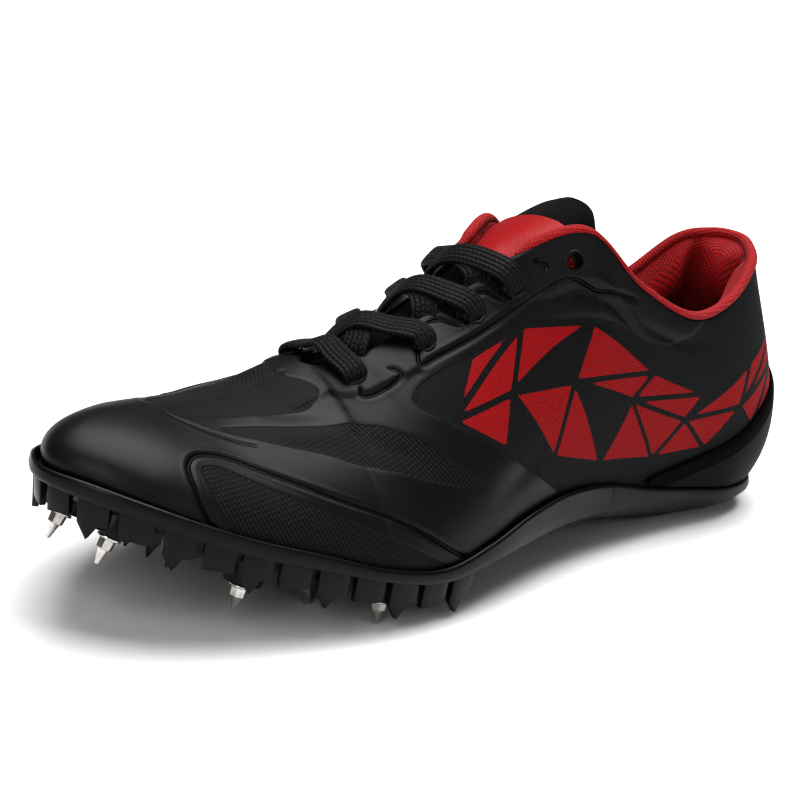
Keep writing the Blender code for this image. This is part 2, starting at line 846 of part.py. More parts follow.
def lining_pad(row):
    """Padding of the collar: full round the heel, thin along the throat."""
    return mix(LINING_PAD, LINING_EDGE, min(max((row - 4.2) / 1.6, 0), 1))


def build_lining():
    """Padded collar lining with a rolled edge that stands over the collar."""
    rings = []
    count = 28
    back = UPPER_WALL + CURVE_GAP
    for index in range(count + 1):
        row, side = signed(mix(-LINING_ROW, LINING_ROW, index / count))
        pad = lining_pad(row)
        crest = skin_offset(row, side, 1.0, -back)
        inner_crest = skin_offset(row, side, 1.0, -back - 0.9 * pad)
        rise = (skin(row, side, 1.0) - skin(row, side, 0.97)).normalized() * LINING_RISE
        shares = [mix(LINING_DEPTH, 0.96, step / 4) for step in range(5)]
        outer = [skin_offset(row, side, share, -back) for share in shares]
        swell = (0.25, 0.8, 1.05, 1.1, 1.0)
        inner = [
            skin_offset(row, side, share, -back - pad * grow) for share, grow in zip(shares, swell)
        ]
        roll = [crest + rise, crest.lerp(inner_crest, 0.5) + rise * 1.5, inner_crest + rise * 0.8]
        rings.append(outer + [crest] + roll + list(reversed(inner)))
    return loft("collar_lining", rings, "red_mesh")


def instep_point(row, across, offset, crown, wing):
    """Point over or under the throat: across is 1 at the outer wing, -1 at the inner."""
    knots = []
    for side in (OUTER, INNER):
        share = share_below_top(row, side, wing)
        knots.append((skin_offset(row, side, share, offset), skin_offset(row, side, 1.0, offset)))
    (outer_wing, outer_edge), (inner_wing, inner_edge) = knots
    open_share = min((outer_edge - inner_edge).length / THROAT_WIDTH, 1)
    middle = (outer_edge + inner_edge) / 2 + Vector((0, 0, crown * open_share))
    points = [outer_wing, outer_edge, middle, inner_edge, inner_wing]
    place = (1 - across) * 2
    base = min(int(place), 3)
    before = points[base - 1] if base > 0 else points[0] * 2 - points[1]
    after = points[base + 2] if base < 3 else points[4] * 2 - points[3]
    share = place - base
    return Vector(
        spline(before[axis], points[base][axis], points[base + 1][axis], after[axis], share)
        for axis in range(3)
    )


def tongue_offset(row):
    """Depth of the tongue's face under the skin: under the wall, then under the lining."""
    plain = UPPER_WALL + CURVE_GAP
    lined = plain + 1.1 * LINING_EDGE + 2 * CURVE_GAP
    return -mix(lined, plain, min(max((row - LINING_ROW - 0.1) / 0.6, 0), 1))


def tongue_point(row, across, depth):
    """Tongue face at a row; above the top row it runs on up the instep and narrows."""
    base = max(row, TONGUE_TOP_ROW)
    point = instep_point(base, across, tongue_offset(base) - depth, TONGUE_CROWN, TONGUE_WING)
    if row < TONGUE_TOP_ROW:
        share = TONGUE_TOP_ROW - row
        middle = instep_point(base, 0, tongue_offset(base) - depth, TONGUE_CROWN, TONGUE_WING)
        ahead = instep_point(base + 0.8, 0, tongue_offset(base) - depth, TONGUE_CROWN, TONGUE_WING)
        run = (middle - ahead).normalized() * (TONGUE_TOP_RISE * share)
        narrow = math.sqrt(1 - (TONGUE_TOP_ROUND * share) ** 2)
        point = middle + (point - middle) * narrow + run + Vector((0, TONGUE_LEAN * share, 0))
    return point


def build_tongue():
    """Soft tongue under the throat, with a round top that stands over the collar."""
    rows = [TONGUE_TOP_ROW - 1, TONGUE_TOP_ROW - 0.85, TONGUE_TOP_ROW - 0.55]
    steps = 12
    rows += [mix(TONGUE_TOP_ROW, TONGUE_FRONT_ROW, index / steps) for index in range(steps + 1)]
    spread = [1 - index / 4 for index in range(9)]
    rings = []
    for row in rows:
        face = [tongue_point(row, across, 0) for across in spread]
        back = [tongue_point(row, across, TONGUE_THICKNESS) for across in reversed(spread)]
        rings.append(face + back)
    return loft("tongue", rings, "black_knit")


def build_label():
    """Plain woven label on the tongue, above the top lace."""
    start, end = LABEL_ROWS
    rings = []
    for index in range(6):
        row = mix(start, end, index / 5)
        spread = [mix(0.46, -0.46, step / 6) for step in range(7)]
        low = [tongue_point(row, across, -CURVE_GAP) for across in spread]
        high = [tongue_point(row, across, -CURVE_GAP - LABEL_THICKNESS) for across in reversed(spread)]
        rings.append(low + high)
    return loft("tongue_label", rings, "red_mesh")


def lace_strand(name, start, end, hop):
    """Flat lace across the throat; start and end are (row, across)."""
    steps = 9
    centre = GAP + EYESTAY_STEP + LACE_CLEARANCE + LACE_THICKNESS / 2
    rings = []
    for index in range(steps + 1):
        share = index / steps
        row = mix(start[0], end[0], share)
        across = mix(start[1], end[1], share)
        lift = centre + hop * math.sin(math.pi * share) ** 4
        here = instep_point(row, across, lift, LACE_CROWN, EYELET_INSET)
        ahead_share = share + 0.02
        ahead = instep_point(
            mix(start[0], end[0], ahead_share), mix(start[1], end[1], ahead_share), lift,
            LACE_CROWN, EYELET_INSET,
        )
        side_row = instep_point(row + 0.1, across, lift, LACE_CROWN, EYELET_INSET)
        run = (ahead - here).normalized()
        up = (side_row - here).cross(run).normalized()
        if up.z < 0:
            up.negate()
        wide = run.cross(up).normalized() * (LACE_WIDTH / 2)
        thick = up * (LACE_THICKNESS / 2)
        rings.append(
            [
                here + wide * 0.75 + thick,
                here - wide * 0.75 + thick,
                here - wide,
                here - wide * 0.75 - thick,
                here + wide * 0.75 - thick,
                here + wide,
            ]
        )
    return loft(name, rings, "lace")


def build_laces():
    """Straight bar at the first eyelets, then one joined crossing for each next pair."""
    first = EYELET_ROWS[0]
    lace_strand("lace_bar", (first, LACE_END), (first, -LACE_END), 0.0)
    for number in range(1, len(EYELET_ROWS) - 1):
        low = EYELET_ROWS[number - 1] - LACE_BACK
        high = EYELET_ROWS[number]
        name = "lace_cross_%d" % number
        under = lace_strand(name, (low, LACE_LOW_END), (high, -LACE_END), 0.0)
        over = lace_strand("over_%d" % number, (low, -LACE_LOW_END), (high, LACE_END), LACE_HOP)
        apply_boolean(under, over, "UNION")


def main():
    for item in list(bpy.data.objects):
        bpy.data.objects.remove(item)
    build_upper()
    build_midsole()
    build_plate()
    build_spikes()
    build_insole()
    build_counter()
    build_lining()
    build_tongue()
    build_label()
    build_laces()


main()
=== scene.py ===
"""Looks of the track spike shoe, a left one, laid out as an add-on and run as a script.

Metres, +Z up, +X to the toe, +Y to the outer side of the foot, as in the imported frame. Every
skin is wrapped on the shoe's own last: the section tables give a column for each row from
the heel (row 0) to the toe tip, and a share up that column from the sole edge to the top.
"""

import functools
import math

import bmesh
import bpy
import numpy as np
from mathutils import Matrix, Vector


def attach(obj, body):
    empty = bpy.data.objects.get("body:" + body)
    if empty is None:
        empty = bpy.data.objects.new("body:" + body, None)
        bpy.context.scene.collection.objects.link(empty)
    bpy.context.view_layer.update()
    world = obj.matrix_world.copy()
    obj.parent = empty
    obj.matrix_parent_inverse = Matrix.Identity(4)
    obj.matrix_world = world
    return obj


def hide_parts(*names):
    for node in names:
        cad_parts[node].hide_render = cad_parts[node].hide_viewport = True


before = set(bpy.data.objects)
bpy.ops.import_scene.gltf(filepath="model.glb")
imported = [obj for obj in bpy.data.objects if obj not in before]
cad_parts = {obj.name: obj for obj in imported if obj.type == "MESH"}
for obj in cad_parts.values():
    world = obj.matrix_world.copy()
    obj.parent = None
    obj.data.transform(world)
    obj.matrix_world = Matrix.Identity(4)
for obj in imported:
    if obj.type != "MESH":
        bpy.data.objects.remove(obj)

bl_info = {
    "name": "Track Spike Shoe",
    "version": (1, 0, 0),
    "blender": (4, 5, 0),
    "location": "View3D > Sidebar > Shoe",
    "description": "Builds the visible pieces of a laced track spike shoe on its packed frame",
    "category": "Object",
}

# Main sizes of the last and the sole
LENGTH = 0.268
HEEL_BACK = 0.031
HEEL_WIDTH = 0.057
BALL_WIDTH = 0.0945
HEEL_HEIGHT = 0.0795
INSTEP_HEIGHT = 0.098
TOE_SPRING = 0.0395
ARCH_RISE = 0.0138
KEEL_DROP = 0.009
RIM_HEIGHT = 0.0102
GAP = 0.0003
CURVE_GAP = 0.0006
UPPER_WALL = 0.0018
RIM_WALL = 0.0014
LEDGE_RISE = 0.0015
LEDGE_WIDTH = 0.0036
HEEL_STACK = 0.0085
PLATE_THICKNESS = 0.0028
FLAT_SHARE = 0.45
SPLIT_ROW = 5.9
JOINT = 0.004
HEEL_POLE_INSET = 0.029
TOE_POLE_INSET = 0.033
TIP_OFFSET = 0.0005

# Throat, eyelets and laces
THROAT_ROW = 11.0
THROAT_ROUND = 0.8
THROAT_WIDTH = 0.016
EYESTAY_STEP = 0.0007
EYESTAY_WIDTH = 0.015
EYESTAY_ROWS = (5.4, 11.9)
EYESTAY_FADE = 0.4
EYELET_INSET = 0.0085
EYELET_DIAMETER = 0.0045
EYELET_ROWS = (10.5, 9.1, 8.1, 7.3, 6.35)
LACE_CROWN = 0.0028
LACE_LIFT = 0.0026
LACE_BACK = 0.6
LACE_DIVE = -0.0042
LACE_HOP = 0.0016

# Collar lining, tongue and counter
LINING_ROW = 7.0
LINING_PAD = 0.0036
LINING_EDGE = 0.0012
ROLL_RADIUS = 0.0017
LINED_WALL = 0.0044
CREASE_ROW = 1.35
CREASE_WIDTH = 0.38
CREASE_SHARE = 0.9
PAD_SWELL = 1.9
LINING_DEPTH = 0.52
TONGUE_THICKNESS = 0.0026
TONGUE_CROWN = 0.003
TONGUE_WING = 0.011
TONGUE_TOP_RISE = 0.0148
TONGUE_TOP_ROUND = 0.62
TONGUE_LEAN = 0.002
TONGUE_FRONT_ROW = 10.7
TONGUE_TOP_ROW = 6.4
LABEL_ROWS = (6.15, 7.1)
LABEL_HALF = 0.46
LABEL_LIFT = 0.0009
COUNTER_ROW = 5.0
COUNTER_PEAK = 0.60
COUNTER_CLIMB = 0.82
COUNTER_THICKNESS = 0.0008

# Fins, teeth and spikes
FIN_INSET = 0.0011
FIN_THICKNESS = 0.0024
FIN_HEIGHT = 0.0072
FIN_TOOTH = 0.0034
FIN_ROOT = 0.0008
FIN_FILL = 0.8
FIN_PACE = 0.0115
FIN_FIRST_ROW = 9.3
FIN_FLOOR = 0.0015
TOOTH_HEIGHT = 0.0055
TOOTH_WIDTH = 0.006
BOSS_DIAMETER = 0.0105
SPIKE_LENGTH = 0.0078
SPIKE_FLANGE = 0.0066
SPIKE_FLANGE_HEIGHT = 0.0009
SPIKE_HEX = 0.0047
SPIKE_HEX_HEIGHT = 0.0026
SPIKE_TIP = 0.0013
HEX_INSET = 0.00028
HEX_SINK = 0.00045
SPIKE_STAND = 0.0044
BALL_ROW = 11.5

# Plan and height of the sole edge, as shares of the main sizes
SOLE_COLUMNS = ("x", "outer", "inner", "fore", "arch", "spring", "drop", "rim", "thin")
SOLE_ROWS = (
    (0.000, 0.000, 0.000, 0.00, 0.36, 0.000, 0.00, 0.39, 0.00),
    (0.011, 0.219, 0.219, 0.00, 0.37, 0.000, 0.21, 0.40, 0.00),
    (0.043, 0.400, 0.396, 0.00, 0.40, 0.000, 0.55, 0.41, 0.00),
    (0.101, 0.496, 0.488, 0.00, 0.46, 0.000, 0.74, 0.42, 0.00),
    (0.175, 0.509, 0.491, 0.00, 0.65, 0.000, 1.03, 0.44, 0.10),
    (0.250, 0.502, 0.436, 0.10, 0.82, 0.000, 0.97, 0.57, 0.25),
    (0.325, 0.476, 0.359, 0.30, 0.94, 0.000, 0.77, 0.88, 0.45),
    (0.399, 0.468, 0.322, 0.55, 1.00, 0.000, 0.58, 1.00, 0.60),
    (0.474, 0.480, 0.328, 0.80, 1.00, 0.000, 0.47, 0.90, 0.75),
    (0.549, 0.498, 0.360, 1.00, 0.95, 0.000, 0.41, 0.61, 0.90),
    (0.623, 0.529, 0.415, 1.00, 0.88, 0.000, 0.42, 0.43, 1.00),
    (0.698, 0.522, 0.447, 1.00, 0.70, 0.152, 0.68, 0.39, 1.00),
    (0.772, 0.478, 0.444, 1.00, 0.40, 0.387, 0.80, 0.45, 1.00),
    (0.840, 0.423, 0.405, 1.00, 0.20, 0.575, 0.82, 0.49, 1.00),
    (0.896, 0.367, 0.333, 1.00, 0.10, 0.734, 0.76, 0.51, 1.00),
    (0.942, 0.290, 0.220, 1.00, 0.00, 0.881, 0.60, 0.50, 1.00),
    (0.981, 0.170, 0.108, 1.00, 0.00, 0.965, 0.30, 0.49, 1.00),
    (1.000, 0.020, -0.020, 1.00, 0.00, 1.000, 0.00, 0.41, 1.00),
)

# Collar, throat edge and toe ridge
TOP_COLUMNS = ("x", "outer", "inner", "up", "top", "lean")
TOP_ROWS = (
    (0.028, 0.000, 0.000, 0.0, 1.000, 0.000),
    (0.043, 0.150, 0.150, 0.0, 0.995, 0.000),
    (0.073, 0.300, 0.300, 0.0, 0.960, 0.012),
    (0.134, 0.425, 0.425, 0.0, 0.868, 0.078),
    (0.208, 0.485, 0.475, 0.2, 0.808, 0.088),
    (0.294, 0.455, 0.440, 0.6, 0.866, 0.082),
    (0.370, 0.365, 0.350, 1.0, 0.970, 0.076),
    (0.442, 0.222, 0.215, 1.0, 0.900, 0.045),
    (0.506, 0.178, 0.170, 1.0, 0.800, 0.042),
    (0.570, 0.160, 0.160, 1.0, 0.720, 0.042),
    (0.630, 0.140, 0.140, 1.0, 0.650, 0.034),
    (0.675, -0.050, 0.050, 1.0, 0.602, 0.000),
    (0.735, -0.050, 0.050, 1.0, 0.562, 0.000),
    (0.787, -0.050, 0.050, 1.0, 0.545, 0.000),
    (0.825, -0.050, 0.050, 1.0, 0.543, 0.000),
    (0.854, -0.048, 0.048, 1.0, 0.547, 0.000),
    (0.873, -0.046, 0.046, 1.0, 0.550, 0.000),
    (0.880, -0.045, 0.045, 1.0, 0.551, 0.000),
)

# Handles of each column's curve
FORM_COLUMNS = ("swell", "lift", "reach", "flare", "sink")
FORM_ROWS = (
    (0.225, 0.30, 0.00, 0.115, 0.38),
    (0.225, 0.30, 0.00, 0.120, 0.38),
    (0.225, 0.30, 0.00, 0.140, 0.36),
    (0.190, 0.30, 0.10, 0.125, 0.34),
    (0.120, 0.32, 0.25, 0.105, 0.34),
    (0.085, 0.34, 0.40, 0.085, 0.32),
    (0.060, 0.36, 0.45, 0.060, 0.28),
    (0.050, 0.38, 0.46, 0.045, 0.20),
    (0.050, 0.40, 0.46, 0.030, 0.12),
    (0.050, 0.42, 0.45, 0.015, 0.06),
    (0.050, 0.44, 0.43, 0.000, 0.03),
    (0.050, 0.44, 0.42, 0.000, 0.02),
    (0.050, 0.45, 0.42, 0.000, 0.00),
    (0.050, 0.47, 0.43, 0.000, 0.00),
    (0.062, 0.54, 0.50, 0.000, -0.04),
    (0.080, 0.62, 0.58, 0.000, -0.10),
    (0.095, 0.68, 0.64, 0.000, -0.16),
    (0.100, 0.70, 0.66, 0.000, -0.18),
)

LAST_ROW = len(SOLE_ROWS) - 1
OUTER = 1
INNER = -1

# Spikes from the toe back: row, side, share of the way out to the fins
SPIKES = (
    (15.6, OUTER, 0.99),
    (15.6, INNER, 0.85),
    (12.5, OUTER, 0.71),
    (12.6, INNER, 0.81),
    (10.75, OUTER, 0.96),
    (10.9, INNER, 0.94),
    (11.2, OUTER, 0.54),
)

# Teeth between the spikes: row, side, share of the half width
TEETH = (
    (15.9, OUTER, 0.05),
    (14.2, OUTER, 0.72),
    (14.2, INNER, 0.72),
    (13.6, OUTER, 0.22),
    (13.4, INNER, 0.42),
    (12.3, OUTER, 0.12),
    (11.7, OUTER, 0.78),
    (11.6, INNER, 0.40),
    (11.3, INNER, 0.05),
    (10.3, OUTER, 0.35),
    (10.2, INNER, 0.45),
    (9.7, OUTER, 0.72),
    (9.6, INNER, 0.75),
)

# Panels of the upper as corners (row, share), the same on both sides of the shoe
VAMP_WINDOW = (
    (14.75, 1.05), (14.70, 0.93), (14.34, 0.86), (13.66, 0.83), (12.80, 0.80), (12.08, 0.77),
    (11.59, 0.75), (11.33, 0.77), (11.18, 0.80), (11.16, 0.84), (11.29, 0.90), (11.47, 0.97),
    (11.50, 1.05),
)
LEAF_WINDOW = (
    (13.21, 0.73), (12.56, 0.72), (11.90, 0.68), (11.31, 0.65), (10.90, 0.64), (10.57, 0.62),
    (10.26, 0.57), (10.03, 0.53), (9.85, 0.48), (9.56, 0.40), (9.26, 0.33), (9.11, 0.27),
    (9.40, 0.30), (9.94, 0.36), (10.59, 0.43), (11.14, 0.47), (11.51, 0.52), (11.97, 0.57),
    (12.54, 0.63),
)
SIDE_LIP = (
    (13.60, -0.06), (13.70, 0.01), (13.95, 0.14), (14.14, 0.30), (14.26, 0.44), (14.19, 0.51),
    (14.00, 0.55), (13.66, 0.56), (13.24, 0.54), (12.76, 0.48), (12.16, 0.40), (11.60, 0.33),
    (11.01, 0.27), (10.37, 0.19), (9.78, 0.09), (9.36, 0.02), (9.10, -0.06),
)
SIDE_WINDOW = (
    (13.40, -0.06), (13.45, 0.02), (13.56, 0.11), (13.68, 0.22), (13.85, 0.34), (13.98, 0.46),
    (13.64, 0.49), (13.17, 0.45), (12.53, 0.37), (11.95, 0.29), (11.37, 0.22), (10.74, 0.15),
    (10.18, 0.08), (9.77, 0.02), (9.50, -0.06),
)
QUARTER_WINDOW = (
    (3.20, 1.10), (3.90, 0.97), (4.70, 0.80), (5.75, 0.69), (6.32, 0.68), (6.88, 0.71),
    (7.15, 0.74), (7.44, 0.745), (7.92, 0.745), (8.59, 0.735), (9.10, 0.735), (9.53, 0.73),
    (9.77, 0.70), (9.84, 0.67), (9.74, 0.62), (9.52, 0.57), (9.33, 0.52), (8.81, 0.41),
    (8.15, 0.28), (7.61, 0.18), (7.11, 0.08), (6.80, -0.06), (-1.5, -0.06), (-1.5, 1.10),
)
SMALL_WINDOW = (
    (6.82, 0.765), (6.61, 0.785), (6.34, 0.785), (6.11, 0.755), (5.97, 0.725), (6.23, 0.705),
    (6.52, 0.725),
)

# Moulded grooves of the upper as lines (row, share)
EYESTAY_GROOVE = (
    (9.16, 0.91), (9.33, 0.84), (9.40, 0.805), (9.34, 0.79), (9.12, 0.79), (8.37, 0.79),
    (7.64, 0.80), (7.18, 0.81), (6.82, 0.83), (6.61, 0.84), (6.42, 0.83), (6.25, 0.80),
    (6.05, 0.78), (5.63, 0.83), (5.13, 0.93),
)
LOOP_GROOVE = (
    (10.53, 0.82), (10.60, 0.78), (10.56, 0.76), (10.21, 0.76), (9.83, 0.79), (9.77, 0.80),
    (9.81, 0.83), (9.93, 0.86),
)
SLOT_GROOVES = (
    ((8.25, 0.93), (8.36, 0.92), (8.28, 0.875), (8.37, 0.85)),
    ((7.41, 0.91), (7.52, 0.90), (7.44, 0.865), (7.53, 0.845)),
    ((6.72, 0.97), (6.83, 0.95), (6.72, 0.915), (6.80, 0.90)),
    ((8.86, 0.965), (8.61, 0.94), (8.52, 0.90), (8.36, 0.85)),
    ((7.92, 0.965), (7.74, 0.94), (7.66, 0.90), (7.52, 0.845)),
)
TOE_SEAM = ((15.05, 1.0), (14.75, 0.91), (14.36, 0.83), (13.78, 0.74), (13.05, 0.65), (12.59, 0.60))

# Corner chains of the red facets on the quarter: top, middle and low, front to back
FACET_CHAINS = (
    ((8.55, 0.73), (7.45, 0.735), (6.25, 0.66), (5.0, 0.62), (3.9, 0.62), (2.7, 0.70), (1.5, 0.76)),
    ((9.35, 0.545), (8.05, 0.53), (6.75, 0.47), (5.55, 0.42), (4.35, 0.45), (3.1, 0.52), (1.9, 0.62)),
    ((8.45, 0.36), (7.35, 0.24), (6.2, 0.16), (5.0, 0.20), (3.85, 0.30), (2.8, 0.40), (1.9, 0.50)),
)
BARE_FACETS = (3, 8, 13, 16, 21)
FACET_GAP = 0.8

# Distances far from any panel or line, for the plain parts of the upper
PLAIN = {"window": -9.0, "red": -9.0, "quarter": -9.0, "groove": 9.0, "depth": 0.0, "trim": 0.0}
TRIM_ROWS = (7.0, 9.9)
LINE_FADE = 0.0025

# Relief of the film in metres, and its widths in millimetres across a groove
GROOVE_DEPTH = 0.0004
GROOVE_WIDTH = 0.85
BANK_HEIGHT = 0.0002
BANK_PLACE = 1.9
BANK_WIDTH = 0.7
WINDOW_SINK = 0.0002

# Millimetres down from the counter's edge: its rough band and the seam in it
COUNTER_BAND = 6.0
COUNTER_SEAM = 2.9

# Spacing of pores, threads, stitches and lathe rings in metres
PORE_PITCH = 0.00125
ROLL_KNIT_PITCH = 0.0009
ROLL_ROW_PITCH = 0.0011
TONGUE_PITCH = 0.0007
LABEL_PITCH = 0.0006
LACE_RIB_PITCH = 0.00135
LACE_STITCH_PITCH = 0.0015
LATHE_PITCH = 0.0004

# Soft folds: start and end (row, share), width as a share, and depth in metres
SOFT_FOLDS = (
    ((5.1, 0.72), (7.4, 0.80), 0.022, -0.0007),
    ((5.0, 0.78), (7.0, 0.86), 0.022, 0.0005),
    ((5.2, 0.64), (7.6, 0.70), 0.030, -0.0006),
    ((10.9, 0.70), (12.4, 0.78), 0.040, -0.0006),
    ((11.0, 0.60), (12.9, 0.66), 0.040, 0.0005),
    ((9.6, 0.40), (11.2, 0.60), 0.050, -0.0005),
    ((7.2, 0.30), (9.0, 0.20), 0.050, -0.0005),
    ((3.6, 0.90), (5.4, 0.80), 0.030, -0.0006),
)

# Camera, fitted to the photograph's view of the shoe
CAMERA_TARGET = (0.105, 0.0, 0.05)
CAMERA_DISTANCE = 0.8
CAMERA_AZIMUTH = 135.0
CAMERA_ELEVATION = 18.0
CAMERA_ROLL = 8.0
CAMERA_SENSOR = 36.0
CAMERA_LENS = 127.59
CAMERA_SHIFT = (-0.02999, -0.02644)
ROOM_LIGHT = 0.12


def linear(code):
    """Linear colour of an sRGB hex value."""
    parts = [int(code[place : place + 2], 16) / 255 for place in (1, 3, 5)]
    return tuple(
        part / 12.92 if part <= 0.04045 else ((part + 0.055) / 1.055) ** 2.4 for part in parts
    )


def mix(low, high, share):
    """Value between low and high."""
    return low + (high - low) * share


def ramp(value, low, high):
    """0 at low, 1 at high, straight between."""
    return min(max((value - low) / (high - low), 0.0), 1.0)


def smooth(values, low, high):
    """Soft step from 0 at low to 1 at high, for arrays."""
    share = np.clip((values - low) / (high - low), 0, 1)
    return share * share * (3 - 2 * share)


def spline(before, start, end, after, share):
    """Smooth value between start and end, with their neighbours."""
    slope_a = (end - before) / 2
    slope_b = (after - start) / 2
    cube = share ** 3
    square = share ** 2
    return (
        (2 * cube - 3 * square + 1) * start
        + (cube - 2 * square + share) * slope_a
        + (3 * square - 2 * cube) * end
        + (cube - square) * slope_b
    )


@functools.lru_cache(maxsize=None)
def read(table, name, row):
    """A column's value at any row; past heel or toe it runs on along the other side."""
    rows, columns = {
        "sole": (SOLE_ROWS, SOLE_COLUMNS),
        "top": (TOP_ROWS, TOP_COLUMNS),
        "form": (FORM_ROWS, FORM_COLUMNS),
    }[table]
    opposite = {"outer": "inner", "inner": "outer"}.get(name)

    def value(index):
        if 0 <= index <= LAST_ROW:
            return rows[index][columns.index(name)]
        folded = -index if index < 0 else 2 * LAST_ROW - index
        if opposite:
            return -rows[folded][columns.index(opposite)]
        return rows[folded][columns.index(name)]

    base = min(int(math.floor(row)), LAST_ROW - 1)
    return spline(value(base - 1), value(base), value(base + 1), value(base + 2), row - base)


def row_side(signed):
    """Row and side of a signed row, below 0 on the inner side."""
    return abs(signed), OUTER if signed >= 0 else INNER


def half_name(side):
    return "outer" if side == OUTER else "inner"


def along(share):
    """World x of a share of the length."""
    return share * LENGTH - HEEL_BACK


def outline(row, side):
    """Plan of the rim."""
    width = mix(HEEL_WIDTH, BALL_WIDTH, read("sole", "fore", row))
    half = read("sole", half_name(side), row)
    return Vector((along(read("sole", "x", row)), side * width * half))


@functools.lru_cache(maxsize=None)
def outward(row, side):
    """Unit plan direction out of the shoe at the rim."""
    step = 0.02
    run = outline(min(row + step, LAST_ROW + step), side) - outline(row - step, side)
    return Vector((-side * run.y, side * run.x)).normalized()


def edge_height(row):
    return ARCH_RISE * read("sole", "arch", row) + TOE_SPRING * read("sole", "spring", row)


def rim_height(row):
    return edge_height(row) + RIM_HEIGHT * read("sole", "rim", row)


def ledge_height(row):
    return edge_height(row) + LEDGE_RISE


def keel_height(row):
    return max(0.0, edge_height(row) - KEEL_DROP * read("sole", "drop", row))


def bed_height(row):
    return keel_height(row) + mix(HEEL_STACK, PLATE_THICKNESS, read("sole", "thin", row))


@functools.lru_cache(maxsize=None)
def row_at(x):
    """Row whose sole edge lies at a world x."""
    low = 0.0
    high = float(LAST_ROW)
    for _ in range(24):
        middle = (low + high) / 2
        if along(read("sole", "x", middle)) < x:
            low = middle
        else:
            high = middle
    return low


def spine(row):
    """Plan point of the centre line that a column's sole runs to."""
    heel_pole = along(0) + HEEL_POLE_INSET
    toe_pole = along(1) - TOE_POLE_INSET
    x = min(max(along(read("sole", "x", row)), heel_pole), toe_pole)
    return Vector((x, TIP_OFFSET * ramp(row, 9, 15)))


def inset_plan(row, side, inset):
    return outline(row, side) - outward(row, side) * inset


def bottom_point(row, side, share):
    """Underside of the sole, share 0 at the centre line and 1 at the edge."""
    plan = spine(row).lerp(outline(row, side), share)
    curl = max(0.0, (share - FLAT_SHARE) / (1 - FLAT_SHARE)) ** 2
    keel = keel_height(row_at(round(plan.x, 6)))
    return Vector((plan.x, plan.y, keel + (edge_height(row) - keel) * curl))


def bed_point(row, side, share, inset):
    """Upper face of the sole inside an inset line."""
    line = inset_plan(row, side, inset)
    plan = spine(row).lerp(line, share)
    climb = ledge_height(row) - bed_height(row_at(round(line.x, 6)))
    height = bed_height(row_at(round(plan.x, 6))) + climb * share ** 2.5
    return Vector((plan.x, plan.y, height))


def throat_round(row):
    """Closes the throat's front end in a round."""
    start = THROAT_ROW - THROAT_ROUND
    return math.sqrt(max(0.0, 1 - (min(row - start, THROAT_ROUND) / THROAT_ROUND) ** 2))


def top_point(row, side):
    """Top line: collar, throat edge or ridge."""
    centre = -HEEL_WIDTH * read("top", "inner", max(row, THROAT_ROW))
    half = side * HEEL_WIDTH * read("top", half_name(side), row)
    before = THROAT_ROW - THROAT_ROUND
    if row > before:
        start = side * HEEL_WIDTH * read("top", half_name(side), before)
        half = centre + (start - centre) * throat_round(row)
    height = mix(HEEL_HEIGHT, INSTEP_HEIGHT, read("top", "up", row)) * read("top", "top", row)
    if side == INNER and row < THROAT_ROW:
        height -= INSTEP_HEIGHT * read("top", "lean", row)
    return Vector((along(read("top", "x", row)), half, height))


def foot_point(row, side):
    """Lower edge of the upper, set in so that its swelling side just clears the rim."""
    height = top_point(row, side).z - ledge_height(row)
    slant = read("form", "swell", row) * HEEL_WIDTH / (read("form", "lift", row) * height)
    tuck = slant * (rim_height(row) - ledge_height(row))
    plan = inset_plan(row, side, RIM_WALL + GAP + tuck)
    return Vector((plan.x, plan.y, ledge_height(row) + GAP))


@functools.lru_cache(maxsize=None)
def handles(row, side):
    """Four handles of a column's curve, sole edge to top line."""
    foot = foot_point(row, side)
    crest = top_point(row, side)
    away = outward(row, side).to_3d()
    span = Vector((foot.x - crest.x, foot.y - crest.y, 0))
    height = crest.z - foot.z
    low = foot + away * (read("form", "swell", row) * HEEL_WIDTH)
    low.z += read("form", "lift", row) * height
    flare = read("form", "flare", row) * HEEL_WIDTH
    high = crest + span * read("form", "reach", row) + away * flare
    high.z -= read("form", "sink", row) * height
    return np.array([foot, low, high, crest])


def weights(shares):
    """Curve weights of the four handles, and how they change with the share."""
    rest = 1 - shares
    value = np.stack([rest ** 3, 3 * rest ** 2 * shares, 3 * rest * shares ** 2, shares ** 3], -1)
    slope = np.stack(
        [
            -3 * rest ** 2,
            3 * rest ** 2 - 6 * rest * shares,
            6 * rest * shares - 3 * shares ** 2,
            3 * shares ** 2,
        ],
        -1,
    )
    return value, slope


def unit(vectors):
    return vectors / np.maximum(np.linalg.norm(vectors, axis=-1, keepdims=True), 1e-12)


def column(row, side, shares):
    """Points, outward normals and upward directions up one column of the skin."""
    step = 0.02
    back = row - step
    front = min(row + step, LAST_ROW + step)
    if row < THROAT_ROW < front:
        front = THROAT_ROW
    if row >= THROAT_ROW > back:
        back = THROAT_ROW
    value, slope = weights(np.asarray(shares, float))
    points = value @ handles(row, side)
    rise = slope @ handles(row, side)
    run = value @ (handles(front, side) - handles(back, side))
    normals = unit(np.cross(run, rise) * -side)
    return points, normals, unit(rise)


def column_with_ridge(row, side, shares):
    """As column, with one shared normal for both sides on the ridge."""
    points, normals, rise = column(row, side, shares)
    if row >= THROAT_ROW:
        other = column(row, -side, [1.0])[1][0]
        shared = unit(column(row, side, [1.0])[1][0] + other)
        near = smooth(np.asarray(shares, float), 0.94, 1.0)[:, None]
        normals = unit(normals * (1 - near) + shared * near)
    return points, normals, rise


def skin(row, side, share, offset=0.0):
    """One point on or off the skin."""
    points, normals, _ = column_with_ridge(row, side, [share])
    return Vector(points[0] + normals[0] * offset)


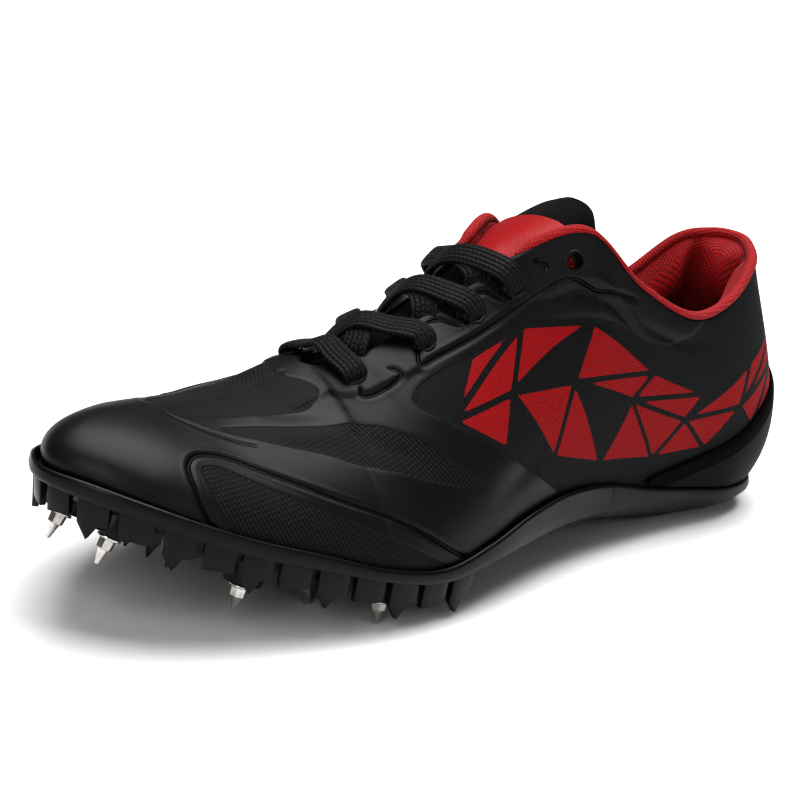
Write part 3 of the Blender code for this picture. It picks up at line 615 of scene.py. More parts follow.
@functools.lru_cache(maxsize=None)
def column_length(row, side):
    points = column(row, side, np.linspace(0, 1, 13))[0]
    return float(np.linalg.norm(np.diff(points, axis=0), axis=1).sum())


def share_below_top(row, side, distance):
    return 1 - distance / column_length(row, side)


def instep_point(row, across, offset, crown, wing):
    """Point over or under the throat: across is 1 at the outer wing, -1 at the inner."""
    knots = []
    for side in (OUTER, INNER):
        share = share_below_top(row, side, wing)
        knots.append((skin(row, side, share, offset), skin(row, side, 1.0, offset)))
    (outer_wing, outer_edge), (inner_wing, inner_edge) = knots
    open_share = min((outer_edge - inner_edge).length / THROAT_WIDTH, 1)
    middle = (outer_edge + inner_edge) / 2 + Vector((0, 0, crown * open_share))
    points = [outer_wing, outer_edge, middle, inner_edge, inner_wing]
    place = (1 - across) * 2
    base = min(max(int(math.floor(place)), 0), 3)
    before = points[base - 1] if base > 0 else points[0] * 2 - points[1]
    after = points[base + 2] if base < 3 else points[4] * 2 - points[3]
    share = place - base
    return Vector(
        spline(before[axis], points[base][axis], points[base + 1][axis], after[axis], share)
        for axis in range(3)
    )


def tongue_offset(row):
    """Depth of the tongue's face: under the wall, then under the lining."""
    plain = UPPER_WALL + CURVE_GAP
    lined = plain + 1.1 * LINING_EDGE + 2 * CURVE_GAP
    return -mix(lined, plain, ramp(row, LINING_ROW + 0.1, LINING_ROW + 0.7))


def tongue_point(row, across, depth):
    """Tongue face at a row; above the top row it runs on up the instep and narrows."""
    base = max(row, TONGUE_TOP_ROW)
    offset = tongue_offset(base) - depth
    point = instep_point(base, across, offset, TONGUE_CROWN, TONGUE_WING)
    if row < TONGUE_TOP_ROW:
        share = TONGUE_TOP_ROW - row
        middle = instep_point(base, 0, offset, TONGUE_CROWN, TONGUE_WING)
        ahead = instep_point(base + 0.8, 0, offset, TONGUE_CROWN, TONGUE_WING)
        run = (middle - ahead).normalized() * (TONGUE_TOP_RISE * share)
        narrow = math.sqrt(max(0.0, 1 - (TONGUE_TOP_ROUND * share) ** 2))
        point = middle + (point - middle) * narrow + run + Vector((0, TONGUE_LEAN * share, 0))
    return point


def plate_frame(row, side, share):
    """Point on the plate's underside and the direction straight out of it."""
    here = bottom_point(row, side, share)
    ahead = bottom_point(row + 0.3, side, share)
    behind = bottom_point(row - 0.3, side, share)
    slope = (ahead.z - behind.z) / max(ahead.x - behind.x, 1e-4)
    tilt = math.atan(slope) if row > BALL_ROW else 0.0
    return here, Vector((math.sin(tilt), 0, -math.cos(tilt)))


def spike_frame(row, side, way_out):
    """Plate frame at a spike, whose flange stays inside the fins."""
    reach = (outline(row, side) - spine(row)).length
    margin = FIN_INSET + FIN_THICKNESS + CURVE_GAP + SPIKE_FLANGE / 2
    return plate_frame(row, side, way_out * (1 - margin / reach))


def spike_seat(row, side, way_out):
    """Top centre of a spike and its direction; the rear spikes stand on the floor."""
    here, down = spike_frame(row, side, way_out)
    if row < BALL_ROW:
        return Vector((here.x, here.y, SPIKE_LENGTH)), Vector((0, 0, -1))
    return here + down * SPIKE_STAND, down


def turned(axis, origin):
    """Placement that takes +Z to an axis and the origin to a point."""
    return Matrix.Translation(origin) @ axis.to_track_quat("Z", "Y").to_matrix().to_4x4()


def wrap(name, points, chart, fields=None, drop=None):
    """Grid primitive wrapped on a form: points, chart and fields are arrays by column, level.

    chart holds each point's place in metres for the UV map, fields hold named values, and
    drop marks faces that are left out by their first column and level.
    """
    columns, levels = points.shape[:2]
    bpy.ops.object.select_all(action="DESELECT")
    bpy.ops.mesh.primitive_grid_add(
        x_subdivisions=columns - 1, y_subdivisions=levels - 1, size=2, calc_uvs=True
    )
    made = bpy.context.object
    made.name = name
    mesh = made.data
    mesh.name = name
    flat = np.empty(len(mesh.vertices) * 3)
    mesh.vertices.foreach_get("co", flat)
    flat = flat.reshape(-1, 3)
    column_of = np.rint((flat[:, 0] + 1) / 2 * (columns - 1)).astype(int)
    level_of = np.rint((flat[:, 1] + 1) / 2 * (levels - 1)).astype(int)
    mesh.vertices.foreach_set("co", points[column_of, level_of].ravel())
    corner = np.empty(len(mesh.loops), dtype=np.int32)
    mesh.loops.foreach_get("vertex_index", corner)
    mesh.uv_layers.active.data.foreach_set(
        "uv", chart[column_of[corner], level_of[corner]].ravel()
    )
    for field, values in (fields or {}).items():
        layer = mesh.attributes.new(field, "FLOAT", "POINT")
        layer.data.foreach_set("value", values[column_of, level_of].astype(np.float32))
    if drop is not None:
        spread = bmesh.new()
        spread.from_mesh(mesh)
        gone = []
        for face in spread.faces:
            first_column = min(column_of[vert.index] for vert in face.verts)
            first_level = min(level_of[vert.index] for vert in face.verts)
            if drop[first_column, first_level]:
                gone.append(face)
        bmesh.ops.delete(spread, geom=gone, context="FACES")
        spread.to_mesh(mesh)
        spread.free()
    return made


def pick(*pieces):
    """Selects these pieces alone and makes the first one active."""
    bpy.ops.object.select_all(action="DESELECT")
    for piece in pieces:
        piece.select_set(True)
    bpy.context.view_layer.objects.active = pieces[0]


def weld(made, distance=0.00001, angle=40):
    """Merges a wrapped form's seams, turns its faces out and shades it."""
    pick(made)
    bpy.ops.object.mode_set(mode="EDIT")
    bpy.ops.mesh.select_all(action="SELECT")
    bpy.ops.mesh.remove_doubles(threshold=distance)
    bpy.ops.mesh.dissolve_degenerate(threshold=1e-7)
    bpy.ops.mesh.normals_make_consistent(inside=False)
    bpy.ops.object.mode_set(mode="OBJECT")
    bpy.ops.object.shade_smooth_by_angle(angle=math.radians(angle))
    return made


def cap(made):
    """Fills the open ends of a wrapped tube."""
    pick(made)
    bpy.ops.object.mode_set(mode="EDIT")
    bpy.ops.mesh.select_all(action="SELECT")
    bpy.ops.mesh.remove_doubles(threshold=0.00001)
    bpy.ops.mesh.fill_holes(sides=0)
    bpy.ops.object.mode_set(mode="OBJECT")
    return made


def join(pieces, name):
    """One object from several."""
    pick(*pieces)
    bpy.ops.object.join()
    pieces[0].name = name
    pieces[0].data.name = name
    return pieces[0]


def settle(piece, material, slot, *nodes):
    """Gives a finished piece its material and body, and hides the CAD nodes it stands for; the slot
    argument is not used.
    """
    piece.data.materials.clear()
    piece.data.materials.append(material)
    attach(piece, "root")
    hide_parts(*nodes)
    return piece


def girth_chart(points):
    """Chart of a wrapped skin in metres: the mean way round it, and the way up each column."""
    ups = np.linalg.norm(np.diff(points, axis=1), axis=2)
    way_up = np.concatenate([np.zeros((len(points), 1)), np.cumsum(ups, axis=1)], axis=1)
    steps = np.linalg.norm(np.diff(points, axis=0), axis=2).mean(axis=1)
    way_round = np.concatenate([[0.0], np.cumsum(steps)])
    return np.stack([np.repeat(way_round[:, None], points.shape[1], axis=1), way_up], -1)


def dense(corners, closed, steps=8):
    """Smooth line through corners (row, share)."""
    count = len(corners)
    line = []
    for index in range(count if closed else count - 1):
        if closed:
            four = [corners[(index + offset) % count] for offset in (-1, 0, 1, 2)]
        else:
            four = [corners[min(max(index + offset, 0), count - 1)] for offset in (-1, 0, 1, 2)]
        for step in range(steps):
            share = step / steps
            line.append(tuple(spline(*[knot[axis] for knot in four], share) for axis in (0, 1)))
    if not closed:
        line.append(corners[-1])
    return line


def distance_to(starts, stops, places):
    """Millimetres from each place to the nearest of some segments, in space or on a chart."""
    best = np.full(len(places), 1.0)
    for start, stop in zip(starts, stops):
        run = stop - start
        span = max(float(run @ run), 1e-12)
        share = np.clip((places - start) @ run / span, 0, 1)
        gap = np.linalg.norm(places - start - share[:, None] * run, axis=1)
        np.minimum(best, gap, out=best)
    return best * 1000


def on_skin(line, side):
    """Points in space of a line of (row, share); a row below 0 lies past the heel."""
    return np.array([skin(abs(row), side if row >= 0 else -side, share) for row, share in line])


def groove_field(corners, side, places, normals):
    """Signed millimetres across a moulded line, and how much of it is left near its ends."""
    ends = on_skin(dense(corners, False), side)
    spans = np.linalg.norm(np.diff(ends, axis=0), axis=1)
    begun = np.concatenate([[0.0], np.cumsum(spans)])
    best = np.full(len(places), 1.0)
    sign = np.ones(len(places))
    way = np.zeros(len(places))
    for index, (start, stop) in enumerate(zip(ends[:-1], ends[1:])):
        run = stop - start
        share = np.clip((places - start) @ run / max(float(run @ run), 1e-12), 0, 1)
        apart = places - start - share[:, None] * run
        gap = np.linalg.norm(apart, axis=1)
        near = gap < best
        best[near] = gap[near]
        turn = np.einsum("ij,ij->i", np.cross(run, apart), normals)
        sign[near] = np.where(turn[near] < 0, -1.0, 1.0)
        way[near] = begun[index] + share[near] * spans[index]
    from_ends = np.minimum(way, begun[-1] - way)
    depth = smooth(from_ends, 0, LINE_FADE) * (1 - smooth(best, 0.0016, 0.0024))
    return best * sign * 1000, depth


def inside(line, rows, shares):
    """Whether each (row, share) lies inside a closed line."""
    result = np.zeros(len(rows), dtype=bool)
    for (row_a, share_a), (row_b, share_b) in zip(line, line[1:] + line[:1]):
        crosses = (row_a > rows) != (row_b > rows)
        span = row_b - row_a if row_b != row_a else 1e-9
        result ^= crosses & (shares < (share_b - share_a) * (rows - row_a) / span + share_a)
    return result


def panel_field(corners, side, rows, shares, places):
    """Signed millimetres to a panel's edge, positive inside it."""
    line = dense(corners, True)
    ends = on_skin(line, side)
    far = distance_to(ends, np.roll(ends, -1, axis=0), places)
    return np.where(inside(line, rows, shares), far, -far)


def facet_field(corners, side, ways, flat):
    """Signed millimetres to the straight sides of a facet on the unrolled quarter."""
    ends = np.array(
        [(np.interp(side * row, *ways), skin(row, side, share).z) for row, share in corners]
    )
    far = distance_to(ends, np.roll(ends, -1, axis=0), flat)
    line = [tuple(end) for end in ends]
    return np.where(inside(line, flat[:, 0], flat[:, 1]), far, -far)


def facets():
    """Triangles between the corner chains, those named bare left out."""
    made = []
    top, middle, low = FACET_CHAINS
    for upper_chain, lower_chain in ((top, middle), (middle, low)):
        for index in range(len(top) - 1):
            made.append((upper_chain[index], upper_chain[index + 1], lower_chain[index]))
            made.append((upper_chain[index + 1], lower_chain[index + 1], lower_chain[index]))
    return [corners for index, corners in enumerate(made) if index not in BARE_FACETS]


def add(tree, kind, inputs=None, **settings):
    """Adds a node, sets its properties and fills or links its inputs."""
    node = tree.nodes.new("ShaderNode" + kind)
    for name, value in settings.items():
        setattr(node, name, value)
    for name, value in (inputs or {}).items():
        if isinstance(value, bpy.types.NodeSocket):
            tree.links.new(value, node.inputs[name])
        else:
            node.inputs[name].default_value = value
    return node


def new_material(name, **constants):
    """Material with a Principled shader; constants go straight on its sockets."""
    made = bpy.data.materials.new(name)
    made.use_nodes = True
    tree = made.node_tree
    shader = tree.nodes["Principled BSDF"]
    for socket, value in constants.items():
        shader.inputs[socket.replace("_", " ")].default_value = value
    return made, tree, shader


def band_scale(period):
    """Scale of a wave texture whose bands repeat at a period in metres."""
    return math.pi / 10 / period


def film_over_mesh(colours, pitch):
    """Urethane film fused over a fine warp mesh: satin skin with matt woven windows."""
    made, tree, shader = new_material("urethane_film_over_mesh", IOR=1.42, Specular_IOR_Level=0.32)
    window = add(tree, "Attribute", attribute_name="window").outputs["Fac"]
    red = add(tree, "Attribute", attribute_name="red").outputs["Fac"]
    groove = add(tree, "Attribute", attribute_name="groove").outputs["Fac"]
    depth = add(tree, "Attribute", attribute_name="depth").outputs["Fac"]
    quarter = add(tree, "Attribute", attribute_name="quarter").outputs["Fac"]
    across = add(tree, "Math", {0: groove}, operation="ABSOLUTE").outputs[0]
    chart = add(tree, "UVMap").outputs["UV"]
    place = add(tree, "TexCoord").outputs["Object"]
    # The film's cut edge is soft, about a quarter of a millimetre
    open_mesh = add(
        tree, "MapRange", {"Value": window, "From Min": -0.14, "From Max": 0.14},
        interpolation_type="SMOOTHSTEP",
    ).outputs["Result"]
    in_red = add(
        tree, "MapRange", {"Value": red, "From Min": -0.08, "From Max": 0.08},
        interpolation_type="SMOOTHSTEP",
    ).outputs["Result"]
    # Warp threads lean back on the forefoot and stand up on the finer quarter mesh
    weaves = []
    for turn, spacing in ((30, pitch), (8, pitch * 0.66)):
        lean = add(
            tree, "Mapping", {"Vector": chart, "Rotation": (0, 0, math.radians(turn))}
        ).outputs["Vector"]
        warp = add(
            tree, "TexWave",
            {"Vector": lean, "Scale": band_scale(spacing), "Distortion": 0.5, "Detail": 1.0},
            bands_direction="X",
        ).outputs["Fac"]
        ties = add(
            tree, "TexWave",
            {"Vector": lean, "Scale": band_scale(spacing * 1.1), "Distortion": 0.4},
            bands_direction="Y",
        ).outputs["Fac"]
        tied = add(tree, "Math", {0: ties, 1: 0.6, 2: 0.4}, operation="MULTIPLY_ADD").outputs[0]
        weaves.append(add(tree, "Math", {0: warp, 1: tied}, operation="MULTIPLY").outputs[0])
    in_quarter = add(tree, "Math", {0: quarter, 1: 0.0}, operation="GREATER_THAN").outputs[0]
    threads = add(tree, "Mix", {0: in_quarter, 2: weaves[0], 3: weaves[1]}).outputs[0]
    # Wear and handling vary the mesh's tone over a few centimetres
    cloud = add(tree, "TexNoise", {"Vector": place, "Scale": 45.0, "Detail": 3.0}).outputs["Fac"]
    # Threads take the lit tone and the gaps between them a painted shade, in the black mesh and the red
    # print alike
    dark_mesh = add(
        tree, "Mix",
        {0: threads, 6: (*colours.mesh_gap_shade, 1), 7: (*colours.mesh_thread, 1)},
        data_type="RGBA",
    ).outputs[2]
    red_mesh = add(
        tree, "Mix",
        {0: threads, 6: (*colours.red_gap_shade, 1), 7: (*colours.red_thread, 1)},
        data_type="RGBA",
    ).outputs[2]
    cloth = add(tree, "Mix", {0: in_red, 6: dark_mesh, 7: red_mesh}, data_type="RGBA").outputs[2]
    cloudy = add(
        tree, "MapRange",
        {"Value": cloud, "From Min": 0.3, "From Max": 0.7, "To Min": 0.82, "To Max": 1.15},
    ).outputs["Result"]
    film = add(
        tree, "Mix", {0: 1.0, 6: (*colours.film, 1), 7: cloudy},
        data_type="RGBA", blend_type="MULTIPLY",
    ).outputs[2]
    painted = add(tree, "Mix", {0: open_mesh, 6: film, 7: cloth}, data_type="RGBA").outputs[2]
    # Grooves hold shade
    shade = add(
        tree, "MapRange",
        {"Value": across, "From Min": 0.22, "From Max": 0.62, "To Min": 1.0, "To Max": 0.0},
        interpolation_type="SMOOTHSTEP",
    ).outputs["Result"]
    shade = add(tree, "Math", {0: shade, 1: depth}, operation="MULTIPLY").outputs[0]
    shade = add(tree, "Math", {0: shade, 1: -0.85, 2: 1.0}, operation="MULTIPLY_ADD").outputs[0]
    shaded = add(
        tree, "Mix", {0: 1.0, 6: painted, 7: shade}, data_type="RGBA", blend_type="MULTIPLY"
    ).outputs[2]
    # A pale reflective binding shows along the inner throat edge
    trim = add(tree, "Attribute", attribute_name="trim").outputs["Fac"]
    bound = add(
        tree, "Mix", {0: trim, 6: shaded, 7: (*linear("#b9bcc0"), 1)}, data_type="RGBA"
    ).outputs[2]
    tree.links.new(bound, shader.inputs["Base Color"])
    grain = add(tree, "TexNoise", {"Vector": place, "Scale": 1600.0, "Detail": 2.0}).outputs["Fac"]
    film_gloss = add(
        tree, "MapRange",
        {"Value": cloud, "From Min": 0.3, "From Max": 0.7, "To Min": 0.36, "To Max": 0.46},
    ).outputs["Result"]
    gloss = add(tree, "Mix", {0: open_mesh, 2: film_gloss, 3: 0.62}).outputs[0]
    tree.links.new(gloss, shader.inputs["Roughness"])
    # Heights in metres: film edge, threads, film grain and groove
    film_step = add(tree, "Math", {0: open_mesh, 1: -0.00022}, operation="MULTIPLY").outputs[0]
    thread_rise = add(tree, "Math", {0: threads, 1: 0.00016}, operation="MULTIPLY").outputs[0]
    thread_rise = add(tree, "Math", {0: thread_rise, 1: open_mesh}, operation="MULTIPLY").outputs[0]
    grain_rise = add(tree, "Math", {0: grain, 1: 0.000022}, operation="MULTIPLY").outputs[0]
    dip = add(
        tree, "MapRange",
        {"Value": across, "From Min": 0.1, "From Max": 0.7, "To Min": -0.0006, "To Max": 0.0},
        interpolation_type="SMOOTHSTEP",
    ).outputs["Result"]
    dip = add(tree, "Math", {0: dip, 1: depth}, operation="MULTIPLY").outputs[0]
    height = film_step
    for part in (thread_rise, grain_rise, dip):
        height = add(tree, "Math", {0: height, 1: part}, operation="ADD").outputs[0]
    bump = add(tree, "Bump", {"Height": height, "Distance": 1.0, "Strength": 1.0}).outputs["Normal"]
    tree.links.new(bump, shader.inputs["Normal"])
    return made


def heel_film(colours):
    """Ribbed counter film: a rough double band along its edge, smooth behind."""
    made, tree, shader = new_material("ribbed_counter_film", IOR=1.42, Specular_IOR_Level=0.16)
    edge = add(tree, "Attribute", attribute_name="edge").outputs["Fac"]
    place = add(tree, "TexCoord").outputs["Object"]
    # Two bands of coarse tooling, each two to three millimetres wide
    band = add(
        tree, "MapRange",
        {"Value": edge, "From Min": COUNTER_BAND - 0.4, "From Max": COUNTER_BAND,
         "To Min": 1.0, "To Max": 0.0},
    ).outputs["Result"]
    seam = add(tree, "Math", {0: edge, 1: COUNTER_SEAM, 2: 0.35}, operation="COMPARE").outputs[0]
    rough = add(tree, "TexNoise", {"Vector": place, "Scale": 900.0, "Detail": 3.0}).outputs["Fac"]
    tone = add(
        tree, "Mix", {0: band, 6: (*colours.panel, 1), 7: (*colours.tooling, 1)}, data_type="RGBA"
    ).outputs[2]
    tone = add(tree, "Mix", {0: seam, 6: tone, 7: (0.001, 0.001, 0.001, 1)}, data_type="RGBA").outputs[2]
    tree.links.new(tone, shader.inputs["Base Color"])
    gloss = add(tree, "Mix", {0: band, 2: 0.55, 3: 0.8}).outputs[0]
    tree.links.new(gloss, shader.inputs["Roughness"])
    rise = add(tree, "Math", {0: rough, 1: band}, operation="MULTIPLY").outputs[0]
    rise = add(tree, "Math", {0: rise, 1: 0.0005}, operation="MULTIPLY").outputs[0]
    dip = add(tree, "Math", {0: seam, 1: -0.0004}, operation="MULTIPLY").outputs[0]
    height = add(tree, "Math", {0: rise, 1: dip}, operation="ADD").outputs[0]
    bump = add(tree, "Bump", {"Height": height, "Distance": 1.0}).outputs["Normal"]
    tree.links.new(bump, shader.inputs["Normal"])
    return made


def lining_mesh(colours):
    """Polyester spacer mesh: staggered pores painted dark as shade; the rolled edge is a close knit with
    painted shade between its threads.
    """
    made, tree, shader = new_material("polyester_spacer_mesh", Sheen_Weight=0.08, Sheen_Roughness=0.4)
    chart = add(tree, "UVMap").outputs["UV"]
    roll = add(tree, "Attribute", attribute_name="roll").outputs["Fac"]
    pores = []
    for turn in (33, -33):
        leaned = add(
            tree, "Mapping", {"Vector": chart, "Rotation": (0, 0, math.radians(turn))}
        ).outputs["Vector"]
        pores.append(
            add(
                tree, "TexWave", {"Vector": leaned, "Scale": band_scale(PORE_PITCH)}, bands_direction="X"
            ).outputs["Fac"]
        )
    cell = add(tree, "Math", {0: pores[0], 1: pores[1]}, operation="ADD").outputs[0]
    pore_shade = add(
        tree, "MapRange", {"Value": cell, "From Min": 0.25, "From Max": 0.8},
        interpolation_type="SMOOTHSTEP",
    ).outputs["Result"]
    knit = add(
        tree, "TexWave", {"Vector": chart, "Scale": band_scale(ROLL_KNIT_PITCH), "Distortion": 1.2,
                          "Detail Scale": 3.0}, bands_direction="X"
    ).outputs["Fac"]
    rows = add(
        tree, "TexWave", {"Vector": chart, "Scale": band_scale(ROLL_ROW_PITCH)}, bands_direction="Y"
    ).outputs["Fac"]
    knit = add(tree, "Math", {0: knit, 1: rows}, operation="MULTIPLY").outputs[0]
    knit = add(tree, "Math", {0: knit, 1: 0.6, 2: 0.45}, operation="MULTIPLY_ADD").outputs[0]
    cloth = add(tree, "Mix", {0: roll, 2: pore_shade, 3: knit}).outputs[0]
    # Pores and the gaps in the knit get the pore colour, a painted shade; the rest takes the lit red
    tone = add(
        tree, "Mix", {0: cloth, 6: (*colours.pore_shade, 1), 7: (*colours.lining, 1)}, data_type="RGBA"
    ).outputs[2]
    tree.links.new(tone, shader.inputs["Base Color"])
    shader.inputs["Roughness"].default_value = 0.75
    rise = add(tree, "Math", {0: cloth, 1: 0.0004}, operation="MULTIPLY").outputs[0]
    bump = add(tree, "Bump", {"Height": rise, "Distance": 1.0}).outputs["Normal"]
    tree.links.new(bump, shader.inputs["Normal"])
    return made


def close_knit(name, colour, gap, pitch, roughness, depth=0.00018, sheen=0.1):
    """Close weave or knit on the piece's own UV: crossing threads at a pitch in metres."""
    made, tree, shader = new_material(
        name, Roughness=roughness, Sheen_Weight=sheen, IOR=1.4, Specular_IOR_Level=0.35
    )
    chart = add(tree, "UVMap").outputs["UV"]
    waves = [
        add(
            tree, "TexWave", {"Vector": chart, "Scale": band_scale(pitch), "Distortion": 0.5},
            bands_direction=way,
        ).outputs["Fac"]
        for way in ("X", "Y")
    ]
    threads = add(tree, "Math", {0: waves[0], 1: waves[1]}, operation="MULTIPLY").outputs[0]
    # Threads take the lit colour and the gaps between them a painted shade
    tone = add(
        tree, "Mix", {0: threads, 6: (*gap, 1), 7: (*colour, 1)}, data_type="RGBA"
    ).outputs[2]
    tree.links.new(tone, shader.inputs["Base Color"])
    rise = add(tree, "Math", {0: threads, 1: depth}, operation="MULTIPLY").outputs[0]
    bump = add(tree, "Bump", {"Height": rise, "Distance": 1.0}).outputs["Normal"]
    tree.links.new(bump, shader.inputs["Normal"])
    return made


def braid(colours):
    """Flat polyester braid: lengthwise ribs of small slanted stitches."""
    made, tree, shader = new_material(
        "polyester_braid", Roughness=0.6, Sheen_Weight=0.02, IOR=1.4, Specular_IOR_Level=0.4
    )
    chart = add(tree, "UVMap").outputs["UV"]
    ribs = add(
        tree, "TexWave", {"Vector": chart, "Scale": band_scale(LACE_RIB_PITCH)}, bands_direction="Y"
    ).outputs["Fac"]
    # Stitches slant to and fro from rib to rib, as a herringbone
    parts = add(tree, "SeparateXYZ", {0: chart})
    fold = add(tree, "Math", {0: parts.outputs["Y"], 1: LACE_RIB_PITCH}, operation="PINGPONG").outputs[0]
    slant = add(tree, "Math", {0: parts.outputs["X"], 1: fold}, operation="ADD").outputs[0]
    slanted = add(tree, "CombineXYZ", {"X": slant}).outputs[0]
    stitches = add(
        tree, "TexWave", {"Vector": slanted, "Scale": band_scale(LACE_STITCH_PITCH)}, bands_direction="X"
    ).outputs["Fac"]
    both = add(tree, "Math", {0: stitches, 1: 0.65, 2: 0.35}, operation="MULTIPLY_ADD").outputs[0]
    threads = add(tree, "Math", {0: ribs, 1: both}, operation="MULTIPLY").outputs[0]
    # Lit stitches take the lace colour and the gaps between them a painted shade
    tone = add(
        tree, "Mix", {0: threads, 6: (*colours.lace_gap_shade, 1), 7: (*colours.lace, 1)}, data_type="RGBA"
    ).outputs[2]
    tree.links.new(tone, shader.inputs["Base Color"])
    rise = add(tree, "Math", {0: threads, 1: 0.0005}, operation="MULTIPLY").outputs[0]
    bump = add(tree, "Bump", {"Height": rise, "Distance": 1.0}).outputs["Normal"]
    tree.links.new(bump, shader.inputs["Normal"])
    return made


def moulded(name, colour, low, high, grain, depth):
    """Moulded plastic or foam: even colour, cloudy gloss and a fine mould grain."""
    made, tree, shader = new_material(name, IOR=1.45, Specular_IOR_Level=0.32)
    place = add(tree, "TexCoord").outputs["Object"]
    cloud = add(tree, "TexNoise", {"Vector": place, "Scale": 60.0, "Detail": 3.0}).outputs["Fac"]
    fine = add(tree, "TexNoise", {"Vector": place, "Scale": grain, "Detail": 2.0}).outputs["Fac"]
    tone = add(
        tree, "Mix", {0: cloud, 6: (*[part * 0.8 for part in colour], 1),
                      7: (*[part * 1.2 for part in colour], 1)}, data_type="RGBA"
    ).outputs[2]
    tree.links.new(tone, shader.inputs["Base Color"])
    gloss = add(
        tree, "MapRange",
        {"Value": cloud, "From Min": 0.3, "From Max": 0.7, "To Min": low, "To Max": high},
    ).outputs["Result"]
    tree.links.new(gloss, shader.inputs["Roughness"])
    rise = add(tree, "Math", {0: fine, 1: depth}, operation="MULTIPLY").outputs[0]
    bump = add(tree, "Bump", {"Height": rise, "Distance": 1.0}).outputs["Normal"]
    tree.links.new(bump, shader.inputs["Normal"])
    return made


def turned_steel():
    """Turned and tumbled carbon steel: bright, with faint lathe rings and darker nicks."""
    made, tree, shader = new_material("turned_steel", Metallic=1.0)
    place = add(tree, "TexCoord").outputs["Object"]
    rings = add(
        tree, "TexWave", {"Vector": place, "Scale": band_scale(LATHE_PITCH), "Distortion": 2.0},
        bands_direction="Z",
    ).outputs["Fac"]
    cloud = add(tree, "TexNoise", {"Vector": place, "Scale": 700.0, "Detail": 3.0}).outputs["Fac"]
    tone = add(
        tree, "Mix", {0: cloud, 6: (*linear("#8d8a86"), 1), 7: (*linear("#e4e1dc"), 1)},
        data_type="RGBA",
    ).outputs[2]
    tree.links.new(tone, shader.inputs["Base Color"])
    gloss = add(
        tree, "MapRange", {"Value": rings, "To Min": 0.18, "To Max": 0.32}
    ).outputs["Result"]
    tree.links.new(gloss, shader.inputs["Roughness"])
    return made


class ShoeSizes(bpy.types.PropertyGroup):
    """Sizes that change the finish but not the frame."""

    mesh_pitch: bpy.props.FloatProperty(
        name="Mesh pitch", description="Spacing of the upper's warp threads",
        default=0.00115, min=0.0003, subtype="DISTANCE", unit="LENGTH",
    )
    lace_width: bpy.props.FloatProperty(
        name="Lace width", description="Width of the flat lace",
        default=0.0074, min=0.003, subtype="DISTANCE", unit="LENGTH",
    )
    lace_thickness: bpy.props.FloatProperty(
        name="Lace thickness", description="Thickness of the flat lace",
        default=0.0021, min=0.0005, subtype="DISTANCE", unit="LENGTH",
    )
    columns_per_row: bpy.props.IntProperty(
        name="Columns per row", description="Fineness of the upper's skin along the shoe",
        default=22, min=4,
    )
    levels: bpy.props.IntProperty(
        name="Levels", description="Fineness of the upper's skin up the shoe", default=104, min=20,
    )


def hue(name, description, code):
    """Colour setting with an sRGB hex value as its default."""
    return bpy.props.FloatVectorProperty(
        name=name, description=description, subtype="COLOR", default=linear(code)
    )


class ShoeColours(bpy.types.PropertyGroup):
    """Colours of the shoe's finishes."""

    film: hue("Film", "Urethane film", "#19191b")
    # Thread colours are the lit tone of each mesh; the gap colours are painted shade between the threads
    mesh_thread: hue("Mesh thread", "Lit threads of the black mesh", "#262628")
    mesh_gap_shade: hue("Mesh gap", "Between the threads of the black mesh", "#050506")
    red_thread: hue("Red thread", "Lit threads of the red print", "#b0181e")
    red_gap_shade: hue("Red gap", "Between the threads of the red print", "#7a0e12")
    # The lining colour is the lit red; the pore colour is painted shade in the pores and between the
    # rolled edge's threads
    lining: hue("Lining", "Red spacer mesh and rolled edge", "#b31219")
    pore_shade: hue("Pore", "Pores of the red spacer mesh", "#5e070b")
    panel: hue("Counter panel", "Smooth film of the counter", "#0a0a0b")
    tooling: hue("Tooling", "Rough band of the counter", "#080809")
    # The lace colour is the stitches' lit tone; the gap colour is painted shade between them
    lace: hue("Lace", "Lit stitches of the braid", "#1c1c1e")
    lace_gap_shade: hue("Lace gap", "Between the stitches of the braid", "#020202")
    foam: hue("Foam", "Heel wedge", "#19191b")
    nylon: hue("Nylon", "Spike plate", "#0e0e0f")


def sizes():
    return bpy.context.scene.shoe_sizes


def colours():
    return bpy.context.scene.shoe_colours


